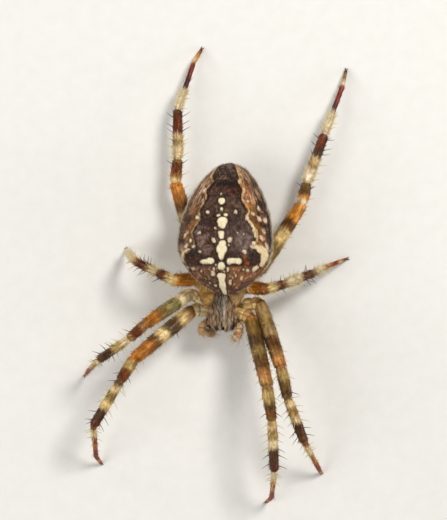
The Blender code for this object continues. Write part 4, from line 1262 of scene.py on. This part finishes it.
def leg_skin(name, leg, seed):
    """One skin from coxa to toe, with the leg's own bands on it."""
    centres, radius, kind, share, length, waist = leg_line(leg)
    skin = Skin(tube_points(centres, radius, LEG_SIDES))
    angle = np.broadcast_to(turns(LEG_SIDES), skin.area.shape)
    # lengthwise folds in the soft skin of the joints
    skin.push(0.025 * (layered(skin.points, 0.4, seed) - 0.5)
              + 0.010 * waist[:, None] * np.cos(9.0 * angle))
    skin.points[..., 2] = np.maximum(skin.points[..., 2], 0.004)
    skin.measure()

    # the bands' edges run out in lengthwise streaks
    streak_place = stacked(np.cumsum(np.full(len(kind), LEG_STEP))[:, None],
                           np.cos(angle) * 0.5, np.sin(angle) * 0.5)
    thick = np.clip(radius / 0.50, 0.45, 1.0)[:, None]
    wobble = (layered(skin.points, 0.30, seed + 10) - 0.5) * 0.40 * thick
    wobble = wobble + (layered(streak_place, (0.6, 0.10, 0.10), seed + 12) - 0.5) * 0.55 * thick
    colour = sum(banded(name, kind, np.clip(share[:, None] + (wobble + nudge * thick)
                                            / length[:, None], 0.0, 1.0)) / 3.0
                 for nudge in (-0.10, 0.0, 0.10))
    dark = smooth(0.16, 0.04, colour.mean(axis=-1))
    streaks = layered(streak_place, (0.9, 0.10, 0.10), seed + 30)
    patches = layered(skin.points, 0.45, seed + 50)
    colour = lit(colour, 0.70 + 0.62 * smooth(0.34, 0.66, streaks),
                 0.80 + 0.42 * smooth(0.30, 0.70, patches))
    # brown patches, dark specks and a darker line along each side of the back
    brown = smooth(0.50, 0.66, layered(skin.points, 0.24, seed + 60)) * (1.0 - dark)
    specks = np.maximum(flecks(skin.points, 0.30, 0.34, seed + 40, 0.12, 0.30),
                        flecks(skin.points, 0.17, 0.22, seed + 45, 0.18, 0.36))
    top_lines = bump(np.sin(angle), 0.60, 0.22) * smooth(0.40, 0.58, streaks)
    for tint, amount in (((0.74, 0.62, 0.50), 0.55 * brown),
                         ((0.34, 0.27, 0.24), 0.85 * specks * (1.0 - dark)),
                         ((0.58, 0.48, 0.40), 0.65 * top_lines)):
        colour = mix(colour, colour * np.array(tint), amount)
    # a paler belly, soft folds, a dark ring round the trochanter and ridges on the coxa
    under = smooth(0.1, -0.8, np.sin(angle))
    soft = (waist * (kind > 1))[:, None] * (0.5 + 0.5 * np.cos(9.0 * angle))
    ring = 0.85 * (kind == 1) * bump(share * length, 0.05, 0.035) \
        + 0.65 * (kind == 0) * bump((share - TROCHANTER_SHARE) * length, 0.0, 0.035)
    colour = painted(colour, (np.minimum(colour * 1.25, 0.8), 0.5 * under),
                     (LEG_COLOURS["tan"], 0.35 * np.clip(soft, 0.0, 1.0)),
                     ((100, 56, 30), np.clip(ring, 0, 1)[:, None] + 0.0 * angle))
    ridges = (kind == 0)[:, None] * smooth(0.2, 0.9, np.cos(14.0 * angle + 2.0 * streaks))
    colour = mix(colour, colour * np.array((0.70, 0.60, 0.48)), 0.45 * ridges)
    skin.colour = grained(colour, layered(skin.points, 0.14, seed + 20), 0.16)
    skin.gloss = 0.45 + 0.3 * dark
    skin.kind = np.broadcast_to(kind[:, None], skin.area.shape)
    skin.dark = dark
    return skin


# spines: segment, shares along it, where round it (degrees), length in mm
SPINES = (
    ("femur", (0.38, 0.56, 0.74, 0.92), (12, 168, 60), 0.62),
    ("patella", (0.30, 0.80), (0, 180, 90), 0.80),
    ("tibia", (0.06, 0.22, 0.38, 0.54, 0.70, 0.88), (-4, 184, 62), 0.90),
    ("metatarsus", (0.08, 0.22, 0.38), (0, 180, 75), 0.70),
)


def leg_hairs(skin, hairs, rear):
    """Short hair all over, longer pale hair on the pale bands of the rear legs' ends."""
    thin = (1.0 - 0.6 * (skin.kind < 1)) * (1.0 - 0.35 * (skin.kind > 3))
    pale_band = smooth(0.22, 0.45, skin.colour.mean(axis=-1))
    fluffy = pale_band * (skin.kind == 4) + 0.45 * pale_band * (skin.kind == 3)
    coats = [(1250, (0.18, 0.34), 0.015, 26, 0.45, thin), (380, (0.30, 0.52), 0.016, 40, 0.60, thin)]
    if rear:
        coats.append((900, (0.36, 0.60), 0.017, 46, 1.6, fluffy))
    for count, length, radius, lift, pale, chance in coats:
        spot = skin.pick(count, chance)
        shade = skin.colour[spot]
        light = smooth(0.06, 0.45, shade.mean(axis=-1))
        pale_share = (rng.random(count) < pale * (0.02 + 0.98 * light)) * (0.40 + 0.40 * light)
        shade = painted(shade * np.array((0.74, 0.64, 0.50)), ((240, 224, 186), pale_share))
        long = rng.uniform(*length, count) * np.where(skin.kind[spot] == 5, 0.7, 1.0)
        hairs.grow(skin, spot, skin.shares(), long, radius, lift + rng.normal(0, 7, count), 0.5,
                   shade, np.minimum(shade * 1.15, 0.9))


def leg_spines(skin, spines, tile):
    """Strong spines in rows along the leg, dark where the skin is dark."""
    uvs = skin.shares(tile)
    for segment, shares, angles, size in SPINES:
        rows = np.flatnonzero(skin.kind[:, 0] == SEGMENT_NAMES.index(segment))
        for share, degrees in itertools.product(shares, angles):
            row = rows[min(len(rows) - 1, max(0, int((share + rng.normal(0, 0.035)) * len(rows))))]
            turned = (degrees + rng.normal(0, 12)) / 360.0 * LEG_SIDES
            column = int(round(turned)) % LEG_SIDES
            shade, tip = srgb(206, 188, 118), srgb(196, 178, 118)
            if skin.dark[row, column] > 0.5:
                shade, tip = srgb(100, 72, 48), srgb(78, 58, 42)
            spines.grow(skin, (slice(row, row + 1), column), uvs, size * rng.uniform(0.8, 1.1),
                        0.040, rng.uniform(58, 74), 0.22, shade, tip, sway=0.10)


def claws(name, leg):
    """Two curved claws at the toe, side by side, and a smaller one under them."""
    joints = leg_joints(leg)
    run = unit(joints[-1] - joints[-2])
    side = unit(np.cross(run, UP))
    flat = unit(run * np.array((1.0, 1.0, 0.0)))
    share = np.linspace(0.0, 1.0, 14)[:, None]
    for number, (across, size) in enumerate(((-0.07, 1.0), (0.07, 1.0), (0.0, 0.6)), 1):
        base = joints[-1] + side * across + np.array((0.0, 0.0, -0.02)) + run * 0.02
        reach = base + flat * (0.22 * size) * share + side * across * 0.6 * share
        reach = reach + UP * (0.05 - 0.16 * share) * share
        radius = 0.040 * size * (1.0 - share[:, 0]) ** 0.7 + 0.004
        reach[:, 2] = np.maximum(reach[:, 2], radius + 0.004)
        claw = Skin(tube_points(reach, radius, 10))
        paint_plain(claw, (24, 16, 14), (44, 28, 22), 701, 0.1, 0.9)
        skin_piece(f"{name}_claw_{number}", claw, "claw")


def dressed_leg(name, leg, number, spines):
    """A leg's skin, hair, spines and claws."""
    skin = leg_skin(name, leg, 1000 + 100 * number)
    skin_piece(name + "_skin", skin, "leg",
               [name + "_" + segment for segment in SEGMENT_NAMES[:5]])
    coat = Hairs()
    leg_hairs(skin, coat, int(name[-1]) > 2)
    coat.piece(name + "_hair", "leg_tibia")
    leg_spines(skin, spines, number)
    claws(name, leg)


# ============================================================= jaws, palps and below
def tube_skin(points, radii, step=0.05, sides=28, blur=3, round_end=0.0):
    """A round skin along a bent line of points with a radius at each."""
    points = np.array(points, dtype=float)
    lengths = np.linalg.norm(np.diff(points, axis=0), axis=1)
    reach = np.cumsum(np.concatenate(([0.0], lengths)))
    stations = np.linspace(0.0, reach[-1], max(12, int(reach[-1] / step)))
    centres = np.stack([np.interp(stations, reach, points[:, axis]) for axis in range(3)], axis=1)
    radius = blurred(np.interp(stations, reach, radii)[:, None], 2)[:, 0]
    if round_end:
        left = np.clip(1.0 - (reach[-1] - stations) / round_end, 0.0, 1.0)
        radius = radius * np.sqrt(np.clip(1.0 - left ** 2, 0.04, 1.0))
    skin = Skin(tube_points(blurred(centres, blur), np.maximum(radius, 0.004), sides))
    skin.share = np.broadcast_to((stations / reach[-1])[:, None], skin.area.shape)
    skin.angle = np.broadcast_to(turns(sides), skin.area.shape)
    return skin


def paint_plain(skin, first, second, seed, size, gloss):
    """Two shades mottled together."""
    colour = painted(first, (second, smooth(0.35, 0.65, layered(skin.points, size, seed))))
    skin.colour = grained(colour, layered(skin.points, size * 0.3, seed + 3), 0.16)
    skin.gloss = np.full(skin.area.shape, gloss)


def chelicerae(hairs):
    """The two jaws, each with its fang."""
    shares = (0.0, 0.08, 0.3, 0.6, 0.85, 1.0)
    radii = (0.30, 0.40, 0.47, 0.43, 0.33, 0.18)
    for number, (word, side) in enumerate(SIDES.items()):
        top = np.array((JAW_MIDDLE_X + side * 0.53, -4.22, 3.02))
        bottom = np.array((JAW_MIDDLE_X + side * 0.46, -4.50, 1.30))
        skin = tube_skin([top + (bottom - top) * share for share in shares], radii, 0.035, 40,
                         blur=2, round_end=0.12)
        seed = 301 + 10 * number
        paint_plain(skin, (168, 112, 62), (196, 144, 86), seed, 0.5, 0.7)
        skin.colour = painted(skin.colour, ((84, 46, 30), 0.85 * smooth(0.60, 0.95, skin.share)),
                              ((120, 84, 60), 0.6 * smooth(0.16, 0.04, skin.share)))
        skin.ruffle(0.02, 0.3, seed + 6)
        skin_piece("chelicera_" + word + "_skin", skin, "jaw", ("chelicera_" + word,))
        # the fang folds inwards across the tip
        fang = tube_skin([bottom + np.array((-side * inward, back, up)) for inward, back, up in
                          ((0.02, -0.02, 0.06), (0.14, -0.02, -0.16), (0.40, 0.10, -0.22))],
                         (0.14, 0.10, 0.01), 0.02, 20)
        paint_plain(fang, (96, 40, 24), (60, 24, 18), seed + 9, 0.2, 0.9)
        fang.colour = painted(fang.colour, ((20, 12, 10), smooth(0.4, 0.9, fang.share)))
        skin_piece("fang_" + word, fang, "claw")
        spot = skin.pick(420, smooth(0.02, 0.1, skin.share))
        shade = painted((90, 66, 48), ((206, 190, 160), (rng.random(420) < 0.5) * 1.0))
        hairs.grow(skin, spot, skin.shares(number), rng.uniform(0.25, 0.50, 420), 0.016,
                   30 + rng.normal(0, 6, 420), 0.5, shade, shade)


def palps(hairs, spines):
    """The two palps, ringed at their joints, each with one claw."""
    radii = (0.25, 0.31, 0.35, 0.355, 0.335, 0.26, 0.12)
    for number, (name, line_points) in enumerate(PALPS.items()):
        points = np.array(line_points)
        tip = unit(points[-1] - points[-2])
        skin = tube_skin([*points, points[-1] + tip * 0.16], radii, 0.035, blur=4, round_end=0.14)
        seed = 401 + 20 * number
        ridge = sum(bump(skin.share, joint, 0.018) for joint in (0.14, 0.34, 0.50, 0.66))
        skin.push(-0.045 * ridge + 0.02 * (layered(skin.points, 0.25, seed) - 0.5))
        paint_plain(skin, (228, 200, 154), (194, 160, 114), seed + 3, 0.35, 0.6)
        pale = smooth(0.60, 0.68, skin.share) * smooth(0.90, 0.84, skin.share)
        knob = bump(skin.share, 0.60, 0.05) + bump(skin.share, 0.84, 0.05)
        skin.colour = painted(
            skin.colour, ((250, 222, 198), 0.92 * pale),
            ((186, 96, 42), 0.90 * np.clip(knob, 0.0, 1.0)
             * smooth(0.30, 0.55, layered(skin.points, 0.3, seed + 5))),
            ((150, 100, 54), 0.75 * smooth(0.52, 0.64, layered(skin.points, 0.26, seed + 7))),
            ((104, 58, 34), 0.7 * np.clip(ridge, 0.0, 1.0)),
            ((150, 84, 48), 0.8 * smooth(0.92, 1.0, skin.share)))
        skin_piece(name + "_skin", skin, "leg", (name,))
        spot = skin.pick(460, 0.2 + skin.share)
        shade = painted(skin.colour[spot], ((240, 226, 194), rng.uniform(0.1, 0.6, 460)))
        hairs.grow(skin, spot, skin.shares(number + 2), rng.uniform(0.20, 0.42, 460), 0.014,
                   28 + rng.normal(0, 7, 460), 0.4, shade, np.minimum(shade * 1.1, 0.9))
        inward = np.array((0.9 if number else -0.9, -0.3, 0.0))
        spot = skin.pick(34, smooth(0.35, 0.8, skin.share))
        spines.grow(skin, spot, skin.shares(number + 8), rng.uniform(0.6, 1.05, 34), 0.022,
                    rng.uniform(24, 50, 34), 0.4, srgb(186, 158, 104), srgb(206, 182, 130),
                    lean=inward)
        claw = tube_skin([points[-1] + tip * 0.10, points[-1] + tip * 0.24,
                          points[-1] + tip * 0.30 + np.array((0.0, 0.06, -0.04))],
                         (0.05, 0.03, 0.006), 0.012, 12, blur=2)
        paint_plain(claw, (30, 20, 18), (50, 30, 22), seed + 8, 0.2, 0.9)
        skin_piece(name + "_claw", claw, "claw")


def sternum_and_pleura(hairs):
    """The sternum with its pale stripe, and the soft skin over it."""
    t, angle = ring_grid(end_spaced(90, 0.02), 90)
    y = STERNUM_Y + STERNUM_HALF_LENGTH * (2.0 * t - 1.0)
    share = lobe(y, STERNUM_Y, STERNUM_HALF_LENGTH, 2.4)
    width = STERNUM_HALF_WIDTH * share * (1.0 - 0.10 * (2.0 * t - 1.0))
    sternum = Skin(stacked(
        PROSOMA_X + rounded(np.cos(angle), 2.6) * width, y,
        STERNUM_Z + rounded(np.sin(angle), 2.6) * STERNUM_HALF_DEPTH * share), 0.03)
    paint_plain(sternum, (74, 50, 38), (98, 68, 48), 501, 0.4, 0.6)
    stripe = smooth(0.26, 0.10, np.abs(sternum.points[..., 0] - PROSOMA_X))
    sternum.colour = painted(sternum.colour, ((186, 150, 84), 0.7 * stripe))
    sternum.ruffle(0.02, 0.3, 507)
    skin_piece("sternum_skin", sternum, "carapace", ("sternum",))
    spot = sternum.pick(500, smooth(0.2, -0.4, np.sin(angle)))
    hairs.grow(sternum, spot, sternum.shares(4), rng.uniform(0.25, 0.45, 500), 0.016, 35, 0.4,
               srgb(150, 130, 100), srgb(200, 184, 150), way=-1.0)
    pleura = ball((PROSOMA_X, -1.95, 3.02), (1.45, 1.75, 0.26), 40, 60)
    paint_plain(pleura, (150, 122, 92), (118, 92, 68), 511, 0.3, 0.4)
    pleura.ruffle(0.04, 0.25, 515)
    skin_piece("pleura", pleura, "leg")


def mouthparts():
    """The maxillae beside the mouth and the labium between them."""
    for word, side in SIDES.items():
        maxilla = tube_skin([(PROSOMA_X + side * out, y, z) for out, y, z in
                             ((0.52, -3.72, 2.42), (0.40, -3.98, 2.34), (0.30, -4.26, 2.22))],
                            (0.20, 0.26, 0.16), 0.03, 24, blur=2, round_end=0.14)
        paint_plain(maxilla, (116, 78, 50), (150, 108, 70), 521, 0.3, 0.6)
        maxilla.colour = painted(maxilla.colour,
                                 ((220, 200, 150), smooth(0.75, 0.95, maxilla.share)))
        skin_piece("maxilla_" + word, maxilla, "jaw")
    labium = ball((PROSOMA_X, -3.92, 2.28), (0.24, 0.22, 0.12), 24, 30)
    paint_plain(labium, (92, 62, 44), (190, 160, 112), 531, 0.25, 0.6)
    skin_piece("labium", labium, "jaw")


def pedicel_and_epigyne():
    """The ringed stalk of the abdomen, and the hooked epigyne on the belly."""
    pedicel = tube_skin([(0.45, -0.60, 2.85), (0.515, 0.42, 3.70), (0.58, 1.45, 4.55)],
                        (0.30, 0.33, 0.38))
    paint_plain(pedicel, (120, 92, 66), (84, 60, 44), 541, 0.25, 0.5)
    pedicel.push(0.02 * np.sin(pedicel.share * 2.0 * np.pi * 9.0))
    skin_piece("pedicel_skin", pedicel, "carapace", ("pedicel",))
    epigyne = tube_skin([(0.62, 1.05, 3.62), (0.62, 0.98, 3.36), (0.64, 1.16, 3.12),
                         (0.66, 1.42, 3.02)], (0.26, 0.22, 0.13, 0.05), 0.03, 24, round_end=0.05)
    paint_plain(epigyne, (126, 82, 50), (84, 52, 36), 551, 0.2, 0.6)
    skin_piece("epigyne", epigyne, "jaw")


def spinnerets(hairs):
    """Three pairs of short cones round the anal tubercle, on a low dark ring."""
    base = np.array((1.02, 7.30, 2.85))
    axis = direction(90, -68)
    right = np.array((1.0, 0.0, 0.0))
    back = np.cross(right, axis)
    ring = tube_skin([base - axis * 0.05, base + axis * 0.30, base + axis * 0.46],
                     (0.58, 0.57, 0.46), 0.03, 48, round_end=0.10)
    paint_plain(ring, (70, 48, 38), (100, 70, 52), 601, 0.3, 0.5)
    ring.push(0.03 * np.cos(9.0 * ring.angle) * smooth(0.5, 1.0, ring.share))
    skin_piece("spinneret_ring", ring, "abdomen", ("spinnerets",))
    cones = (("anterior", 0.24, -0.22, 0.215, 1.28), ("median", 0.10, 0.02, 0.11, 1.02),
             ("posterior", 0.24, 0.22, 0.185, 1.22))
    for tile, ((kind, across, rear, radius, length), (word, side)) in enumerate(
            itertools.product(cones, SIDES.items()), 5):
        start = base + axis * 0.25 + right * side * across + back * rear
        lean = unit(axis + right * side * -0.12 + back * rear * -0.6)
        cone = tube_skin([start, start + lean * (length - 0.45), start + lean * (length - 0.20)],
                         (radius, radius * 0.85, radius * 0.45), 0.02, 26, blur=2, round_end=0.06)
        cone.push(-0.03 * bump(cone.share, 0.62, 0.05))
        paint_plain(cone, (120, 84, 58), (88, 60, 44), 611, 0.2, 0.5)
        cone.colour = painted(cone.colour, ((206, 178, 132), 0.7 * smooth(0.82, 0.95, cone.share)))
        skin_piece("spinneret_" + kind + "_" + word, cone, "abdomen")
        spot = cone.pick(130, smooth(0.3, 1.0, cone.share) + 0.15)
        hairs.grow(cone, spot, cone.shares(tile), rng.uniform(0.12, 0.24, 130), 0.012, 24, 0.4,
                   srgb(150, 120, 84), srgb(216, 196, 156))
    tubercle = ball(base + axis * 0.30 + back * 0.42, (0.17, 0.13, 0.17), 24, 30)
    paint_plain(tubercle, (96, 68, 50), (130, 96, 70), 621, 0.2, 0.5)
    skin_piece("anal_tubercle", tubercle, "abdomen")


# ============================================================ floor, light, camera
def floor():
    """A sheet of pale paper under the toes."""
    size = 0.6                         # half the side of the paper, in metres
    mesh = bpy.data.meshes.new("floor")
    corners = [(-size, -size, 0.0), (size, -size, 0.0), (size, size, 0.0), (-size, size, 0.0)]
    mesh.from_pydata(corners, [], [(0, 1, 2, 3)])
    mat, tree, shader, place = new_material("floor paper")
    fibres = node(tree, "TexNoise", {"Vector": place, "Scale": 900.0})
    ramp = node(tree, "ValToRGB", {"Fac": fibres.outputs["Fac"]})
    ramp.color_ramp.elements[0].color = (*srgb(224, 223, 219), 1.0)
    ramp.color_ramp.elements[1].color = (*srgb(232, 231, 228), 1.0)
    feed(tree, shader, {"Base Color": ramp.outputs["Color"], "Roughness": 0.85,
                        "Specular IOR Level": 0.2})
    mesh.materials.append(mat)
    placed("floor", mesh)


def softbox(name, place, size, power, colour=(1.0, 1.0, 1.0)):
    """A round light of that size in mm, turned to the middle of the body."""
    lamp = bpy.data.lights.new(name, "AREA")
    lamp.shape = "DISK"
    lamp.size = size * MM
    lamp.energy = power
    lamp.color = colour
    made = placed(name, lamp)
    made.location = Vector(place) * MM
    aim = Vector(BODY_MIDDLE) - Vector(place)
    made.rotation_euler = aim.to_track_quat("-Z", "Y").to_euler()


def studio():
    """A pale world, with a key light, a fill light and a rim light on each side."""
    scene = bpy.context.scene
    scene.world = bpy.data.worlds.new("studio")
    scene.world.use_nodes = True
    background = scene.world.node_tree.nodes["Background"]
    background.inputs["Color"].default_value = (1.0, 0.985, 0.955, 1.0)
    background.inputs["Strength"].default_value = 0.34
    softbox("key", (110.0, 120.0, 210.0), 80.0, 0.46, (1.0, 0.97, 0.92))
    softbox("fill", (-170.0, -60.0, 190.0), 180.0, 0.25, (1.0, 0.99, 0.97))
    softbox("rim_left", (-210.0, 130.0, 70.0), 90.0, 0.14)
    softbox("rim_right", (230.0, -40.0, 80.0), 90.0, 0.10)
    scene.view_settings.view_transform = "Standard"


def camera():
    """Looks straight down on the back."""
    data = bpy.data.cameras.new("camera")
    data.lens = LENS
    data.sensor_width = data.sensor_height = SENSOR
    data.clip_start = 1.0 * MM
    data.clip_end = 10.0
    made = placed("camera", data)
    made.location = Vector((CAMERA_X + SHIFT[0], CAMERA_Y + SHIFT[1],
                            BODY_HEIGHT + CAMERA_DISTANCE)) * MM
    bpy.context.scene.camera = made


# ========================================================================= build
floor()
studio()
camera()

body, body_places = abdomen_skin()
skin_piece("abdomen_skin", body, "abdomen", ("abdomen",))
abdomen_hairs(body, body_places)

shell = carapace_skin()
skin_piece("carapace_skin", shell, "carapace", ("carapace",))
carapace_hairs(shell)
eyes()

all_spines = Hairs((0.0, 0.3, 0.6, 0.85), 5)
trunk_hairs = Hairs()
chelicerae(trunk_hairs)
palps(trunk_hairs, all_spines)
sternum_and_pleura(trunk_hairs)
mouthparts()
pedicel_and_epigyne()
spinnerets(trunk_hairs)
trunk_hairs.piece("trunk_hair", "palp")

for leg_number, leg_name in enumerate(LEGS):
    dressed_leg(leg_name, LEGS[leg_name], leg_number, all_spines)
all_spines.piece("spines", "leg_tibia")
